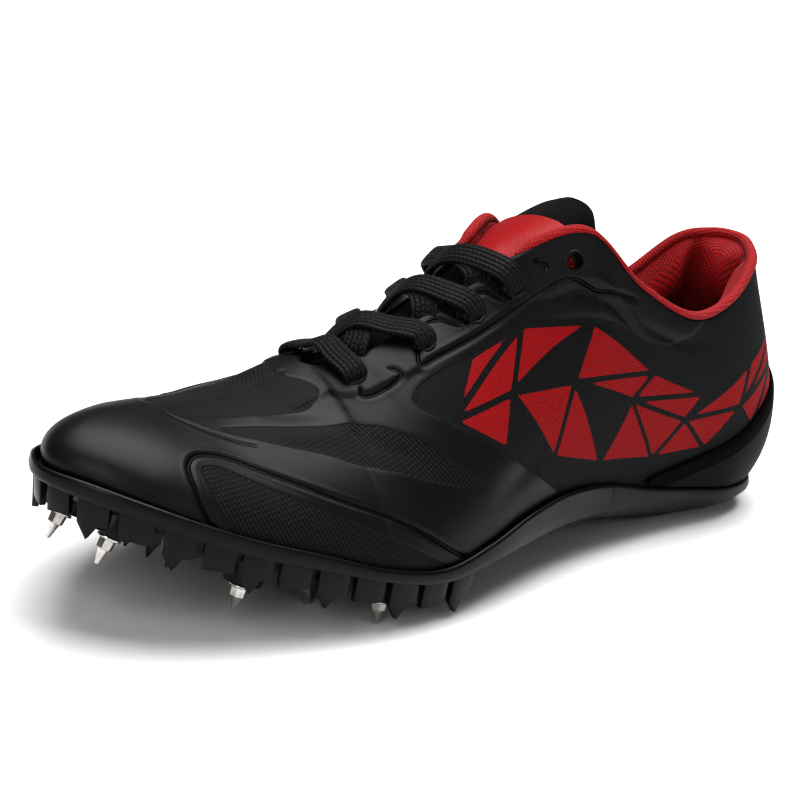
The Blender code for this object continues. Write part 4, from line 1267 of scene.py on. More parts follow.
class SHOE_OT_upper(bpy.types.Operator):
    """Wrap the hollow upper on the last, with its windows, grooves and eyelets"""

    bl_idname = "shoe.upper"
    bl_label = "Upper"

    def execute(self, context):
        half = sizes().columns_per_row * LAST_ROW
        levels = sizes().levels
        signed_rows = [LAST_ROW * step / half for step in range(-half, half + 1)]
        shares = np.linspace(0, 1, levels + 1)
        inner_shares = np.linspace(1, 0, 12)
        columns = [column_with_ridge(*row_side(signed), shares) for signed in signed_rows]
        skins = np.array([points for points, _, _ in columns])
        normals = np.array([normal for _, normal, _ in columns])
        rises = np.array([rise[-1] for _, _, rise in columns])
        fields = upper_fields(signed_rows, shares, skins, normals)
        skins = skins + normals * upper_relief(signed_rows, shares, fields)[:, :, None]
        edges = []
        for index, signed in enumerate(signed_rows):
            row, side = row_side(signed)
            inner_points, inner_normals, _ = column_with_ridge(row, side, inner_shares)
            inner_points = inner_points - inner_normals * UPPER_WALL
            outside = skins[index, -1]
            middle = (outside + inner_points[0]) / 2
            reach = (outside - inner_points[0]) / 2
            lip = [
                middle + reach * math.cos(turn) + rises[index] * (UPPER_WALL / 2 * math.sin(turn))
                for turn in np.radians([45, 90, 135])
            ]
            edges.append(np.concatenate([lip, inner_points, skins[index, :1]]))
        points = np.concatenate([skins, np.array(edges)], axis=1)
        blank = points.shape[1] - levels - 1
        padded = {
            name: np.concatenate([values, np.full((len(values), blank), PLAIN[name])], axis=1)
            for name, values in fields.items()
        }
        for index, signed in enumerate(signed_rows):
            if -TRIM_ROWS[1] < signed < -TRIM_ROWS[0]:
                padded["trim"][index, levels : levels + 4] = 1.0
        drop = self.openings(signed_rows, points, levels)
        pieces = [wrap("upper_skin", points, girth_chart(points), padded, drop)]
        for side in (OUTER, INNER):
            pieces += [self.rim(row, side) for row in EYELET_ROWS]
        made = join(pieces, "upper_skin")
        weld(made)
        settle(made, film_over_mesh(colours(), sizes().mesh_pitch), "film_upper", "upper")
        return {"FINISHED"}

    def openings(self, signed_rows, points, levels):
        """Faces left out: the wall between the skins under the ridge, and the eyelet holes."""
        drop = np.zeros(points.shape[:2], dtype=bool)
        for index, signed in enumerate(signed_rows[:-1]):
            if min(abs(signed), abs(signed_rows[index + 1])) >= THROAT_ROW - 1e-6:
                drop[index, levels : levels + 4] = True
        for side in (OUTER, INNER):
            for row in EYELET_ROWS:
                drop |= punched(points, row, side)
        return drop

    def rim(self, row, side):
        """Rolled rim of an eyelet, through the wall."""
        centre, axis = eyelet(row, side)
        place = turned(axis, centre)
        hole = EYELET_DIAMETER / 2
        top = EYESTAY_STEP
        wall = UPPER_WALL if row != EYELET_ROWS[-1] else LINED_WALL
        profile = (
            (hole + 0.0013, top - 0.0004), (hole + 0.0012, top + 0.0001), (hole + 0.0008, top + 0.0004),
            (hole + 0.0003, top + 0.0003), (hole, top - 0.0002), (hole, -wall + 0.0002),
            (hole + 0.0003, -wall - 0.0002), (hole + 0.0013, -wall - 0.0001),
            (hole + 0.0013, top - 0.0004),
        )
        rings = []
        for turn in np.linspace(0, 2 * math.pi, 37):
            rings.append(
                [
                    place @ Vector((far * math.cos(turn), far * math.sin(turn), deep))
                    for far, deep in profile
                ]
            )
        points = np.array(rings)
        fields = {name: np.full(points.shape[:2], value) for name, value in PLAIN.items()}
        return wrap("eyelet_rim", points, girth_chart(points), fields)


def eyelet(row, side):
    """Centre on the bare skin and outward axis of an eyelet."""
    share = share_below_top(row, side, EYELET_INSET)
    centre = skin(row, side, share)
    return centre, (skin(row, side, share, 0.001) - centre).normalized()


def punched(points, row, side):
    """Faces of a wrapped form that an eyelet's hole takes out."""
    drop = np.zeros(points.shape[:2], dtype=bool)
    centre, axis = (np.array(part) for part in eyelet(row, side))
    centres = (points[:-1, :-1] + points[1:, :-1] + points[:-1, 1:] + points[1:, 1:]) / 4
    apart = centres - centre
    deep = apart @ axis
    away = np.linalg.norm(apart - deep[:, :, None] * axis, axis=2)
    drop[:-1, :-1] = (away < EYELET_DIAMETER / 2 + 0.0006) & (np.abs(deep) < 0.006)
    return drop


def upper_fields(signed_rows, shares, skins, normals):
    """Signed distances on the skin to windows, red facets and grooves, in millimetres."""
    rows = np.repeat(np.array(signed_rows), len(shares))
    heights = np.tile(shares, len(signed_rows))
    places = skins.reshape(-1, 3)
    facing = normals.reshape(-1, 3)
    made = {name: np.full(len(rows), value) for name, value in PLAIN.items()}
    middle = skins[:, skins.shape[1] // 2]
    steps = np.linalg.norm(np.diff(middle, axis=0), axis=1)
    way = np.concatenate([[0.0], np.cumsum(steps)])
    way -= way[len(way) // 2]
    ways = (np.array(signed_rows), way)
    flat = np.stack([np.repeat(way, len(shares)), places[:, 2]], -1)
    for side in (OUTER, INNER):
        own = rows * side >= -0.001
        place = (rows[own] * side, heights[own], places[own])
        for corners in (VAMP_WINDOW, LEAF_WINDOW, SIDE_WINDOW, QUARTER_WINDOW, SMALL_WINDOW):
            field = panel_field(corners, side, *place)
            made["window"][own] = np.maximum(made["window"][own], field)
            if corners is QUARTER_WINDOW:
                made["quarter"][own] = field
        for corners in facets():
            field = facet_field(corners, side, ways, flat[own]) - FACET_GAP
            made["red"][own] = np.maximum(made["red"][own], field)
        for corners in (EYESTAY_GROOVE, LOOP_GROOVE, TOE_SEAM, *SLOT_GROOVES, SIDE_LIP[1:-1]):
            field, depth = groove_field(corners, side, place[2], facing[own])
            nearer = np.abs(field) < np.abs(made["groove"][own])
            made["groove"][own] = np.where(nearer, field, made["groove"][own])
            depth = depth * (0.35 if corners is TOE_SEAM else 1.0)
            made["depth"][own] = np.where(nearer, depth, made["depth"][own])
    shape = skins.shape[:2]
    return {name: values.reshape(shape) for name, values in made.items()}


def upper_relief(signed_rows, shares, fields):
    """Height of the moulded relief over the skin, in metres."""
    across = np.abs(fields["groove"])
    relief = fields["depth"] * (
        BANK_HEIGHT * np.exp(-(((across - BANK_PLACE) / BANK_WIDTH) ** 2))
        - GROOVE_DEPTH * np.exp(-((across / GROOVE_WIDTH) ** 2))
    )
    relief -= WINDOW_SINK * smooth(fields["window"], -0.7, 0.7)
    for index, signed in enumerate(signed_rows):
        row, side = row_side(signed)
        rises = ramp(row, EYESTAY_ROWS[0], EYESTAY_ROWS[0] + EYESTAY_FADE)
        falls = 1 - ramp(row, EYESTAY_ROWS[1] - EYESTAY_FADE, EYESTAY_ROWS[1])
        below = (1 - shares) * column_length(row, side)
        band = 1 - smooth(below, EYESTAY_WIDTH - 0.0012, EYESTAY_WIDTH + 0.0012)
        relief[index] += EYESTAY_STEP * min(rises, falls) * band
        relief[index] += soft_folds(row, shares)
    return relief


def soft_folds(row, shares):
    """Soft troughs and ridges of the flexed film, in metres."""
    total = np.zeros(len(shares))
    for start, stop, width, deep in SOFT_FOLDS:
        if not start[0] < row < stop[0]:
            continue
        reach = ramp(row, start[0], stop[0])
        line = mix(start[1], stop[1], reach)
        fade = math.sin(math.pi * reach)
        total += deep * fade * np.exp(-(((shares - line) / width) ** 2))
    return total


class SHOE_OT_counter(bpy.types.Operator):
    """Lay the heel counter on the upper, with its tooled edge"""

    bl_idname = "shoe.counter"
    bl_label = "Heel Counter"

    def execute(self, context):
        count = 160
        levels = 30
        crests = []
        fronts = []
        backs = []
        for index in range(count + 1):
            signed = mix(-COUNTER_ROW, COUNTER_ROW, index / count)
            row, side = row_side(signed)
            clear = rim_height(row) + GAP - foot_point(row, side).z
            lift = clear / (top_point(row, side).z * COUNTER_CLIMB)
            reach = math.cos(math.pi / 2 * row / COUNTER_ROW)
            crest = mix(lift + 0.03, COUNTER_PEAK, reach)
            shares = np.linspace(lift + 0.01, crest, levels + 1)
            points, normals, _ = column_with_ridge(row, side, shares)
            proud = GAP + COUNTER_THICKNESS * np.sqrt(np.clip(np.linspace(1, 0, levels + 1) * 14, 0, 1))
            fronts.append(points + normals * proud[:, None])
            backs.append((points + normals * GAP)[::-1])
            crests.append(points[-1])
        points = np.concatenate([np.array(fronts), np.array(backs), np.array(fronts)[:, :1]], axis=1)
        flat = points.reshape(-1, 3)
        best = np.full(len(flat), 1.0)
        for crest in crests:
            np.minimum(best, np.linalg.norm(flat - crest, axis=1), out=best)
        fields = {"edge": best.reshape(points.shape[:2]) * 1000}
        made = cap(wrap("heel_counter_film", points, girth_chart(points), fields))
        weld(made)
        settle(made, heel_film(colours()), "counter_film", "heel_counter")
        return {"FINISHED"}


def lining_pad(row):
    """Padding of the collar: full round the heel, thin along the throat."""
    return mix(LINING_PAD, LINING_EDGE, ramp(row, 4.2, 5.8))


class SHOE_OT_lining(bpy.types.Operator):
    """Wrap the padded collar lining and its rolled edge"""

    bl_idname = "shoe.lining"
    bl_label = "Collar Lining"

    def execute(self, context):
        count = 320
        back = UPPER_WALL + CURVE_GAP
        shares = np.linspace(LINING_DEPTH, 0.99, 30)
        height = (shares - LINING_DEPTH) / (1 - LINING_DEPTH)
        rings = []
        rolls = []
        for index in range(count + 1):
            signed = mix(-LINING_ROW, LINING_ROW, index / count)
            row, side = row_side(signed)
            points, normals, _ = column_with_ridge(row, side, shares)
            outer = points - normals * back
            # Ankle pads either side of a heel pad, with a crease where they meet
            crease = CREASE_SHARE * math.exp(-(((row - CREASE_ROW) / CREASE_WIDTH) ** 2))
            full = 1 - ramp(row, 4.4, 5.9)
            belly = 0.3 + PAD_SWELL * full * np.sin((height * 0.975) ** 1.9 * math.pi) ** 0.8
            ends = ramp(LINING_ROW - row, 0, 0.25)
            plump = (LINING_EDGE + lining_pad(row) * belly * (1 - crease)) * (0.5 + 0.5 * ends)
            inner = points - normals * (back + plump)[:, None]
            crest, facing, up = (part[0] for part in column_with_ridge(row, side, [1.0]))
            radius = ROLL_RADIUS * (0.5 + 0.5 * ends)
            middle = crest - facing * (UPPER_WALL * 0.55) + up * (radius * 0.75)
            turns = np.radians(np.linspace(-20, 200, 15))
            roll = [middle + (facing * math.cos(t) + up * math.sin(t)) * radius for t in turns]
            rings.append(np.concatenate([outer, roll, inner[::-1], outer[:1]]))
            ridge = np.zeros(len(rings[-1]))
            ridge[len(outer) - 1 : len(outer) + len(turns) + 1] = 1.0
            rolls.append(ridge)
        points = np.array(rings)
        drop = punched(points, EYELET_ROWS[-1], OUTER) | punched(points, EYELET_ROWS[-1], INNER)
        fields = {"roll": np.array(rolls)}
        made = wrap("collar_lining_mesh", points, girth_chart(points), fields, drop)
        close_ends(made, points[0], points[-1])
        weld(made, angle=60)
        settle(made, lining_mesh(colours()), "red_lining", "collar_lining")
        return {"FINISHED"}


def close_ends(made, first, last):
    """Fills the two end sections of a wrapped form that also has holes in its side."""
    mesh = bmesh.new()
    mesh.from_mesh(made.data)
    bmesh.ops.remove_doubles(mesh, verts=mesh.verts, dist=0.00001)
    for ring in (first, last):
        middle = Vector(ring.mean(axis=0))
        reach = max((Vector(point) - middle).length for point in ring) + 0.0005
        edges = [
            edge for edge in mesh.edges
            if edge.is_boundary and all((vert.co - middle).length < reach for vert in edge.verts)
        ]
        bmesh.ops.holes_fill(mesh, edges=edges, sides=0)
    mesh.to_mesh(made.data)
    mesh.free()


class SHOE_OT_tongue(bpy.types.Operator):
    """Make the soft tongue and its plain label"""

    bl_idname = "shoe.tongue"
    bl_label = "Tongue and Label"

    def execute(self, context):
        rows = [TONGUE_TOP_ROW - share for share in (1, 0.99, 0.96, 0.9, 0.8, 0.66, 0.5, 0.34, 0.17)]
        rows += list(np.linspace(TONGUE_TOP_ROW, TONGUE_FRONT_ROW, 46))
        spread = np.linspace(1, -1, 33)
        rings = []
        for index, row in enumerate(rows):
            thin = math.sqrt(ramp(index, -0.6, 4)) * TONGUE_THICKNESS / 2
            face = []
            back = []
            for across in spread:
                edge = math.sqrt(max(0.0, 1 - abs(across) ** 8))
                middle = tongue_point(row, across, TONGUE_THICKNESS / 2)
                normal = (tongue_point(row, across, 0) - middle).normalized()
                face.append(middle + normal * (thin * edge))
                back.append(middle - normal * (thin * edge))
            rings.append(face + back[::-1] + face[:1])
        points = np.array(rings)
        made = cap(wrap("tongue_cloth", points, girth_chart(points)))
        weld(made, distance=0.00003)
        # Tongue tricot: lit thread tone, with painted shade between the threads
        knit = close_knit(
            "brushed_tricot", linear("#0b0b0c"), linear("#040404"), TONGUE_PITCH, 0.95, sheen=0.04
        )
        settle(made, knit, "tongue_knit", "tongue")
        self.label()
        return {"FINISHED"}

    def label(self):
        """Plain satin label with turned-in edges."""
        start, end = LABEL_ROWS
        rings = []
        for row in np.linspace(start, end, 24):
            low = []
            high = []
            for place in np.linspace(LABEL_HALF, -LABEL_HALF, 30):
                face = tongue_point(row, place, 0)
                run = tongue_point(row + 0.04, place, 0) - tongue_point(row - 0.04, place, 0)
                way = tongue_point(row, place + 0.02, 0) - tongue_point(row, place - 0.02, 0)
                normal = run.cross(way).normalized()
                low.append(face + normal * (LABEL_LIFT / 3))
                high.append(face + normal * LABEL_LIFT)
            rings.append(low + high[::-1] + low[:1])
        points = np.array(rings)
        made = cap(wrap("tongue_label_satin", points, girth_chart(points)))
        weld(made, angle=50)
        # Satin label: lit red thread tone, with painted shade between the threads
        satin = close_knit(
            "satin_ribbon", linear("#b8141b"), linear("#8e0c12"), LABEL_PITCH, 0.36,
            depth=0.00005, sheen=0.05,
        )
        settle(made, satin, "red_label", "tongue_label")


def sweep_flat(path, ups, widths, thicks, name):
    """Flat lace swept along a path, with its own width and thickness at each point."""
    corners = 20
    points = []
    length = 0.0
    chart = []
    for index, here in enumerate(path):
        before = path[max(index - 1, 0)]
        after = path[min(index + 1, len(path) - 1)]
        run = (after - before).normalized()
        up = (ups[index] - run * ups[index].dot(run)).normalized()
        wide = run.cross(up).normalized()
        if index:
            length += (here - path[index - 1]).length
        ring = []
        places = []
        for corner in range(corners + 1):
            angle = 2 * math.pi * corner / corners
            flat_x = math.copysign(abs(math.cos(angle)) ** 0.55, math.cos(angle)) * widths[index] / 2
            flat_y = math.copysign(abs(math.sin(angle)) ** 0.8, math.sin(angle)) * thicks[index] / 2
            ring.append(here + wide * flat_x + up * flat_y)
            places.append((length, flat_x))
        points.append(ring)
        chart.append(places)
    return cap(wrap(name, np.array(points), np.array(chart)))


def lace_path(knots, steps):
    """Smooth path through knots (row, across, lift) over the instep, with its up directions."""
    path = []
    ups = []
    count = len(knots)
    for index in range(count - 1):
        four = [knots[min(max(index + offset, 0), count - 1)] for offset in (-1, 0, 1, 2)]
        for step in range(steps if index < count - 2 else steps + 1):
            share = step / steps
            row, across, lift = (spline(*[knot[axis] for knot in four], share) for axis in range(3))
            here = instep_point(row, across, lift, LACE_CROWN, EYELET_INSET)
            over = instep_point(row, across, lift + 0.001, LACE_CROWN, EYELET_INSET)
            path.append(here)
            ups.append((over - here).normalized())
    return path, ups


def lace_strand(knots, name, turn_in, turn_out):
    """One visible run of lace; it narrows and turns where it dives into an eyelet."""
    path, ups = lace_path(knots, 7)
    count = len(path)
    widths = []
    thicks = []
    for index in range(count):
        ends = []
        if turn_in:
            ends.append(index)
        if turn_out:
            ends.append(count - 1 - index)
        tuck = 1 - ramp(min(ends), 0, 11) if ends else 0.0
        widths.append(sizes().lace_width * (1 - 0.48 * tuck))
        thicks.append(sizes().lace_thickness * (1 + 0.9 * tuck))
    # Out from the middle, the flat keeps its turn without twisting
    for order in (range(count // 2 + 1, count), range(count // 2 - 1, -1, -1)):
        for index in order:
            before = index - 1 if order.step > 0 else index + 1
            beyond = min(max(index + order.step, 0), count - 1)
            run = (path[beyond] - path[before]).normalized()
            carried = ups[before] - run * ups[before].dot(run)
            fresh = ups[index] - run * ups[index].dot(run)
            ups[index] = (carried.normalized() + fresh * 0.5).normalized()
    return sweep_flat(path, ups, widths, thicks, name)


class SHOE_OT_laces(bpy.types.Operator):
    """Run the flat laces through the eyelets"""

    bl_idname = "shoe.laces"
    bl_label = "Laces"

    def execute(self, context):
        cloth = braid(colours())
        lift = LACE_LIFT
        first = EYELET_ROWS[0]
        knots = [
            (first, 1.0, LACE_DIVE), (first, 1.08, -0.0006), (first, 1.02, lift * 0.8),
            (first, 0.8, lift + 0.0006), (first, 0.35, lift + 0.0008), (first, -0.35, lift + 0.0008),
            (first, -0.8, lift + 0.0006), (first, -1.02, lift * 0.8), (first, -1.08, -0.0006),
            (first, -1.0, LACE_DIVE),
        ]
        bar = weld(lace_strand(knots, "bar", True, True), angle=60)
        bar.name = "lace_bar_braid"
        settle(bar, cloth, "lace_braid", "lace_bar")
        for number in range(1, len(EYELET_ROWS) - 1):
            low = EYELET_ROWS[number - 1] - LACE_BACK * 0.7
            high = EYELET_ROWS[number]
            runs = []
            for side, hop in ((INNER, 0.0), (OUTER, LACE_HOP)):
                knots = [
                    (low + 0.22, -side * 0.80, -0.0030),
                    (low + 0.1, -side * 0.55, -0.0012),
                    (low - 0.05, -side * 0.36, lift * 0.5),
                    (mix(low, high, 0.42), -side * 0.06, lift + hop),
                    (mix(low, high, 0.72), side * 0.4, lift + 0.6 * hop),
                    (high + 0.02, side * 0.8, lift + 0.0007),
                    (high, side * 1.02, lift * 0.8),
                    (high, side * 1.08, -0.0006),
                    (high, side * 1.0, LACE_DIVE),
                ]
                runs.append(lace_strand(knots, "run", False, True))
            cross = join(runs, "lace_cross_%d_braid" % number)
            weld(cross, angle=60)
            settle(cross, cloth, "lace_braid", "lace_cross_%d" % number)
        return {"FINISHED"}


def sole_ring(row):
    """Closed fine section of the sole at a row: under, rim, ledge and bed."""
    halves = []
    for side in (OUTER, INNER):
        rim = outline(row, side)
        away = outward(row, side)
        edge = edge_height(row)
        crest = rim_height(row)
        under = [bottom_point(row, side, share) for share in np.linspace(0, 0.93, 13)]
        wall = []
        # Share of the rim's height and inset from its face, in metres
        tall = crest - edge
        soft = min(0.0009, tall * 0.3)
        for lift, inset in ((0.02, 0.0014), (0.07, 0.0004), (0.18, 0.0), (0.45, -0.0003)):
            wall.append((edge + tall * lift, inset))
        for turn in (0, 30, 60, 90):
            angle = math.radians(turn)
            wall.append((crest - soft + soft * math.sin(angle), soft * (1 - math.cos(angle))))
        side_points = [
            Vector((rim.x - away.x * inset, rim.y - away.y * inset, height)) for height, inset in wall
        ]
        plan = inset_plan(row, side, RIM_WALL)
        side_points.append(Vector((plan.x, plan.y, crest - soft)))
        side_points.append(Vector((plan.x, plan.y, ledge_height(row))))
        bed = [bed_point(row, side, share, RIM_WALL + LEDGE_WIDTH) for share in (1, 0.75, 0.45, 0)]
        halves.append(under + side_points + bed)
    return halves[0] + halves[1][::-1][1:]


def sole_body(name, start, end):
    """Fine sole body between two rows, closed at its cut end."""
    rows = np.linspace(start, end, max(int((end - start) * 10), 12))
    if start == 0:
        rows = start + (end - start) * np.linspace(0, 1, len(rows)) ** 1.2
    points = np.array([sole_ring(float(row)) for row in rows])
    return cap(wrap(name, points, girth_chart(points)))


class SHOE_OT_midsole(bpy.types.Operator):
    """Shape the foam wedge under the heel"""

    bl_idname = "shoe.midsole"
    bl_label = "Heel Wedge"

    def execute(self, context):
        made = sole_body("heel_wedge_foam", 0.0, SPLIT_ROW - JOINT)
        weld(made)
        # Compression-moulded foam with a satin skin
        foam = moulded("moulded_foam_skin", colours().foam, 0.38, 0.5, 1400.0, 0.00003)
        settle(made, foam, "foam", "midsole")
        return {"FINISHED"}


def fin_rows():
    """Rows where the plate's fins start and end, right round the forefoot."""
    spans = []
    for side in (OUTER, INNER):
        row = FIN_FIRST_ROW
        while row < LAST_ROW - 0.2:
            tenth = (outline(row + 0.1, side) - outline(row, side)).length
            end = min(row + 0.1 * FIN_PACE / max(tenth, 1e-5), LAST_ROW)
            spans.append((side, row, mix(row, end, FIN_FILL)))
            row = end
    return spans


def add_ring_body(mesh, rings):
    """Closed body through closed rings of points."""
    made = [[mesh.verts.new(point) for point in ring] for ring in rings]
    for here, there in zip(made, made[1:]):
        for index in range(len(here)):
            after = (index + 1) % len(here)
            mesh.faces.new((here[index], here[after], there[after], there[index]))
    mesh.faces.new(made[0])
    mesh.faces.new(list(reversed(made[-1])))


def add_turned(mesh, origin, axis, stations, segments):
    """Turned body along an axis; stations are (distance, radius)."""
    place = turned(axis, origin)
    rings = []
    for distance, radius in stations:
        rings.append(
            [
                place
                @ Vector(
                    (
                        radius * math.cos(2 * math.pi * index / segments),
                        radius * math.sin(2 * math.pi * index / segments),
                        distance,
                    )
                )
                for index in range(segments)
            ]
        )
    add_ring_body(mesh, rings)


def from_bmesh(name, mesh, bevel=0.0, segments=2):
    """Object from a bmesh, its edges softened."""
    bmesh.ops.recalc_face_normals(mesh, faces=mesh.faces)
    data = bpy.data.meshes.new(name)
    mesh.to_mesh(data)
    mesh.free()
    made = bpy.data.objects.new(name, data)
    bpy.context.collection.objects.link(made)
    if bevel:
        pick(made)
        step = made.modifiers.new("soft edges", "BEVEL")
        step.width = bevel
        step.segments = segments
        step.limit_method = "ANGLE"
        step.angle_limit = math.radians(25)
        bpy.ops.object.modifier_apply(modifier=step.name)
    return made


def fins():
    """Perimeter fins: tall panels under the rim, every second one with a pointed foot."""
    mesh = bmesh.new()
    for index, (side, start, end) in enumerate(fin_rows()):
        toothed = index % 2 == 0
        drops = (0.8, 0.86, 1 + FIN_TOOTH / FIN_HEIGHT, 0.92) if toothed else (0.85, 0.9, 0.95, 1.0)
        rings = []
        for step, drop in enumerate(drops):
            row = mix(start, end, step / (len(drops) - 1))
            near = inset_plan(row, side, FIN_INSET)
            far = inset_plan(row, side, FIN_INSET + FIN_THICKNESS)
            foot_near = inset_plan(row, side, FIN_INSET + 0.25 * FIN_THICKNESS)
            crest = edge_height(row) + FIN_ROOT
            foot = max(edge_height(row) - FIN_HEIGHT * drop, FIN_FLOOR)
            rings.append(
                [
                    Vector((near.x, near.y, crest)),
                    Vector((far.x, far.y, crest)),
                    Vector((far.x, far.y, foot)),
                    Vector((foot_near.x, foot_near.y, foot)),
                ]
            )
        add_ring_body(mesh, rings)
    return from_bmesh("fins", mesh, 0.00025)


def teeth():
    """Spike bosses and the sharp teeth between them."""
    mesh = bmesh.new()
    root = 0.6 * PLATE_THICKNESS
    for row, side, way_out in SPIKES:
        seat, down = spike_seat(row, side, way_out)
        here, _ = spike_frame(row, side, way_out)
        depth = (seat - here).dot(down) + root
        radius = BOSS_DIAMETER / 2
        stations = ((0, radius * 1.1), (depth - 0.0003, radius), (depth, radius - 0.0003))
        add_turned(mesh, seat - down * (depth + GAP), down, stations, 28)
    for row, side, share in TEETH:
        here, down = plate_frame(row, side, share)
        half = TOOTH_WIDTH / 2
        stations = ((0, half), (root, half), (root + TOOTH_HEIGHT, 0.12 * half))
        add_turned(mesh, here - down * root, down, stations, 4)
    return from_bmesh("teeth", mesh, 0.0002)


class SHOE_OT_plate(bpy.types.Operator):
    """Shape the spike plate with its fins, bosses and teeth"""

    bl_idname = "shoe.plate"
    bl_label = "Spike Plate"

    def execute(self, context):
        base = sole_body("base", SPLIT_ROW + JOINT, float(LAST_ROW))
        weld(base)
        made = join([base, fins(), teeth()], "spike_plate_nylon")
        bpy.ops.object.shade_smooth_by_angle(angle=math.radians(35))
        # Injection-moulded nylon, satin from the tool
        nylon = moulded("moulded_nylon", colours().nylon, 0.3, 0.42, 1800.0, 0.00002)
        settle(made, nylon, "nylon_plate", "spike_plate")
        return {"FINISHED"}


class SHOE_OT_spikes(bpy.types.Operator):
    """Turn a steel spike for each boss"""

    bl_idname = "shoe.spikes"
    bl_label = "Spikes"

    def execute(self, context):
        steel = turned_steel()
        for number, (row, side, way_out) in enumerate(SPIKES, 1):
            seat, down = spike_seat(row, side, way_out)
            made = self.spike("spike_%d_steel" % number, turned(down, seat))
            settle(made, steel, "spike_steel", "spike_%d" % number)
        return {"FINISHED"}

    def spike(self, name, place):
        """Flange, hexagon with sunk faces and an eight-sided cone."""
        flange = SPIKE_FLANGE / 2
        body = SPIKE_HEX / 2
        end_body = SPIKE_FLANGE_HEIGHT + SPIKE_HEX_HEIGHT
        mesh = bmesh.new()
        rim = 0.25 * SPIKE_FLANGE_HEIGHT
        stations = (
            (0, flange - rim), (rim, flange), (SPIKE_FLANGE_HEIGHT - rim, flange),
            (SPIKE_FLANGE_HEIGHT, flange - rim),
        )
        add_turned(mesh, Vector(), Vector((0, 0, 1)), stations, 40)
        stations = ((0.5 * SPIKE_FLANGE_HEIGHT, body), (end_body, body * 0.9))
        add_turned(mesh, Vector(), Vector((0, 0, 1)), stations, 6)
        mesh.faces.ensure_lookup_table()
        sides = [face for face in mesh.faces if len(face.verts) == 4 and face.calc_area() > 4e-6]
        sides = [face for face in sides if abs(face.normal.z) < 0.3]
        bmesh.ops.inset_individual(mesh, faces=sides, thickness=HEX_INSET, depth=-HEX_SINK)
        stations = (
            (end_body - 0.0001, body * 0.78), (end_body + 0.0003, body * 0.62),
            (SPIKE_LENGTH - 0.0003, SPIKE_TIP / 2), (SPIKE_LENGTH, SPIKE_TIP / 3),
        )
        add_turned(mesh, Vector(), Vector((0, 0, 1)), stations, 8)
        made = from_bmesh(name, mesh, 0.00008, 1)
        made.data.transform(place)
        pick(made)
        bpy.ops.object.shade_smooth_by_angle(angle=math.radians(30))
        return made


class SHOE_OT_insole(bpy.types.Operator):
    """Give the insole its cloth"""

    bl_idname = "shoe.insole"
    bl_label = "Insole"

    def execute(self, context):
        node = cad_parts["insole"]
        # Brushed polyester top cloth, dark and matt
        cloth, tree, shader = new_material("brushed_polyester", Roughness=0.9, Sheen_Weight=0.3)
        place = add(tree, "TexCoord").outputs["Object"]
        nap = add(tree, "TexNoise", {"Vector": place, "Scale": 900.0, "Detail": 4.0}).outputs["Fac"]
        tone = add(
            tree, "Mix", {0: nap, 6: (*linear("#0c0c0d"), 1), 7: (*linear("#262628"), 1)},
            data_type="RGBA",
        ).outputs[2]
        tree.links.new(tone, shader.inputs["Base Color"])
        rise = add(tree, "Math", {0: nap, 1: 0.0003}, operation="MULTIPLY").outputs[0]
        bump = add(tree, "Bump", {"Height": rise, "Distance": 1.0}).outputs["Normal"]
        tree.links.new(bump, shader.inputs["Normal"])
        node.data.materials.clear()
        node.data.materials.append(cloth)
        return {"FINISHED"}


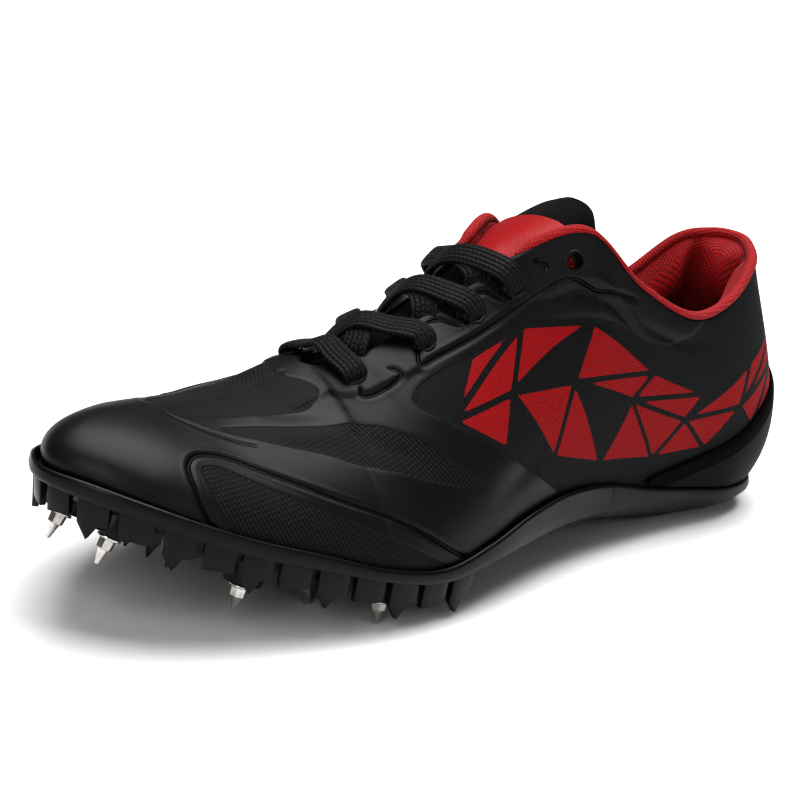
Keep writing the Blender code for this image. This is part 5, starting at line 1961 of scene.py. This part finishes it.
class SHOE_OT_stage(bpy.types.Operator):
    """Set the floor, the soft lights and the camera"""

    bl_idname = "shoe.stage"
    bl_label = "Stage"

    def execute(self, context):
        bpy.ops.object.select_all(action="DESELECT")
        bpy.ops.mesh.primitive_plane_add(size=12)
        floor = bpy.context.object
        floor.name = "floor"
        paper, tree, shader = new_material("matt_paper", Roughness=0.9)
        place = add(tree, "TexCoord").outputs["Object"]
        cloud = add(tree, "TexNoise", {"Vector": place, "Scale": 3.0}).outputs["Fac"]
        tone = add(
            tree, "Mix", {0: cloud, 6: (*linear("#f4f4f4"), 1), 7: (*linear("#f8f8f8"), 1)},
            data_type="RGBA",
        ).outputs[2]
        tree.links.new(tone, shader.inputs["Base Color"])
        floor.data.materials.append(paper)
        world = bpy.data.worlds.new("studio")
        world.use_nodes = True
        back = world.node_tree.nodes["Background"]
        back.inputs["Color"].default_value = (1, 1, 1, 1)
        back.inputs["Strength"].default_value = ROOM_LIGHT
        context.scene.world = world
        context.scene.view_settings.view_transform = "Standard"
        context.scene.view_settings.look = "High Contrast"
        self.camera(context)
        for name, place, aim, size, power in (
            ("top softbox", (-0.3, -0.25, 2.2), (0.05, 0, 0.0), (2.3, 2.3), 70.0),
            ("toe softbox", (1.0, 0.35, 0.55), (0.15, 0, 0.04), (0.5, 0.8), 3.6),
            ("side softbox", (0.15, 1.1, 0.5), (0.08, 0, 0.05), (1.2, 0.5), 1.6),
        ):
            self.softbox(name, Vector(place), Vector(aim), size, power)
        return {"FINISHED"}

    def softbox(self, name, place, aim, size, power):
        light = bpy.data.lights.new(name, "AREA")
        light.shape = "RECTANGLE"
        light.size, light.size_y = size
        light.energy = power
        lamp = bpy.data.objects.new(name, light)
        lamp.matrix_world = Matrix.Translation(place) @ (
            (aim - place).to_track_quat("-Z", "Y").to_matrix().to_4x4()
        )
        bpy.context.collection.objects.link(lamp)

    def camera(self, context):
        azimuth, elevation, roll = (
            math.radians(angle) for angle in (CAMERA_AZIMUTH, CAMERA_ELEVATION, CAMERA_ROLL)
        )
        back = Vector(
            (
                math.sin(azimuth) * math.cos(elevation),
                -math.cos(azimuth) * math.cos(elevation),
                math.sin(elevation),
            )
        )
        right = (-back).cross(Vector((0, 0, 1))).normalized()
        up = right.cross(-back)
        rolled_right = right * math.cos(roll) + up * math.sin(roll)
        rolled_up = up * math.cos(roll) - right * math.sin(roll)
        place = Vector(CAMERA_TARGET) + back * CAMERA_DISTANCE
        lens = bpy.data.cameras.new("camera")
        lens.sensor_width = CAMERA_SENSOR
        lens.lens = CAMERA_LENS
        lens.shift_x, lens.shift_y = CAMERA_SHIFT
        view = bpy.data.objects.new("camera", lens)
        turn = Matrix((rolled_right, rolled_up, back)).transposed().to_4x4()
        view.matrix_world = Matrix.Translation(place) @ turn
        bpy.context.collection.objects.link(view)
        context.scene.camera = view


class SHOE_PT_panel(bpy.types.Panel):
    """Sizes, colours and pieces of the shoe"""

    bl_label = "Track Spike Shoe"
    bl_idname = "SHOE_PT_panel"
    bl_space_type = "VIEW_3D"
    bl_region_type = "UI"
    bl_category = "Shoe"

    def draw(self, context):
        for group in (context.scene.shoe_sizes, context.scene.shoe_colours):
            for name in group.__annotations__:
                self.layout.prop(group, name)
        for piece in PIECES:
            self.layout.operator(piece.bl_idname)


PIECES = (
    SHOE_OT_stage,
    SHOE_OT_upper,
    SHOE_OT_counter,
    SHOE_OT_lining,
    SHOE_OT_tongue,
    SHOE_OT_laces,
    SHOE_OT_midsole,
    SHOE_OT_plate,
    SHOE_OT_spikes,
    SHOE_OT_insole,
)
CLASSES = (ShoeSizes, ShoeColours, *PIECES, SHOE_PT_panel)


def register():
    for item in CLASSES:
        bpy.utils.register_class(item)
    bpy.types.Scene.shoe_sizes = bpy.props.PointerProperty(type=ShoeSizes)
    bpy.types.Scene.shoe_colours = bpy.props.PointerProperty(type=ShoeColours)


def unregister():
    del bpy.types.Scene.shoe_colours
    del bpy.types.Scene.shoe_sizes
    for item in reversed(CLASSES):
        bpy.utils.unregister_class(item)


def main():
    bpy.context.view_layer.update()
    register()
    bpy.ops.shoe.stage()
    bpy.ops.shoe.upper()
    bpy.ops.shoe.counter()
    bpy.ops.shoe.lining()
    bpy.ops.shoe.tongue()
    bpy.ops.shoe.laces()
    bpy.ops.shoe.midsole()
    bpy.ops.shoe.plate()
    bpy.ops.shoe.spikes()
    bpy.ops.shoe.insole()


if __name__ == "__main__":
    main()
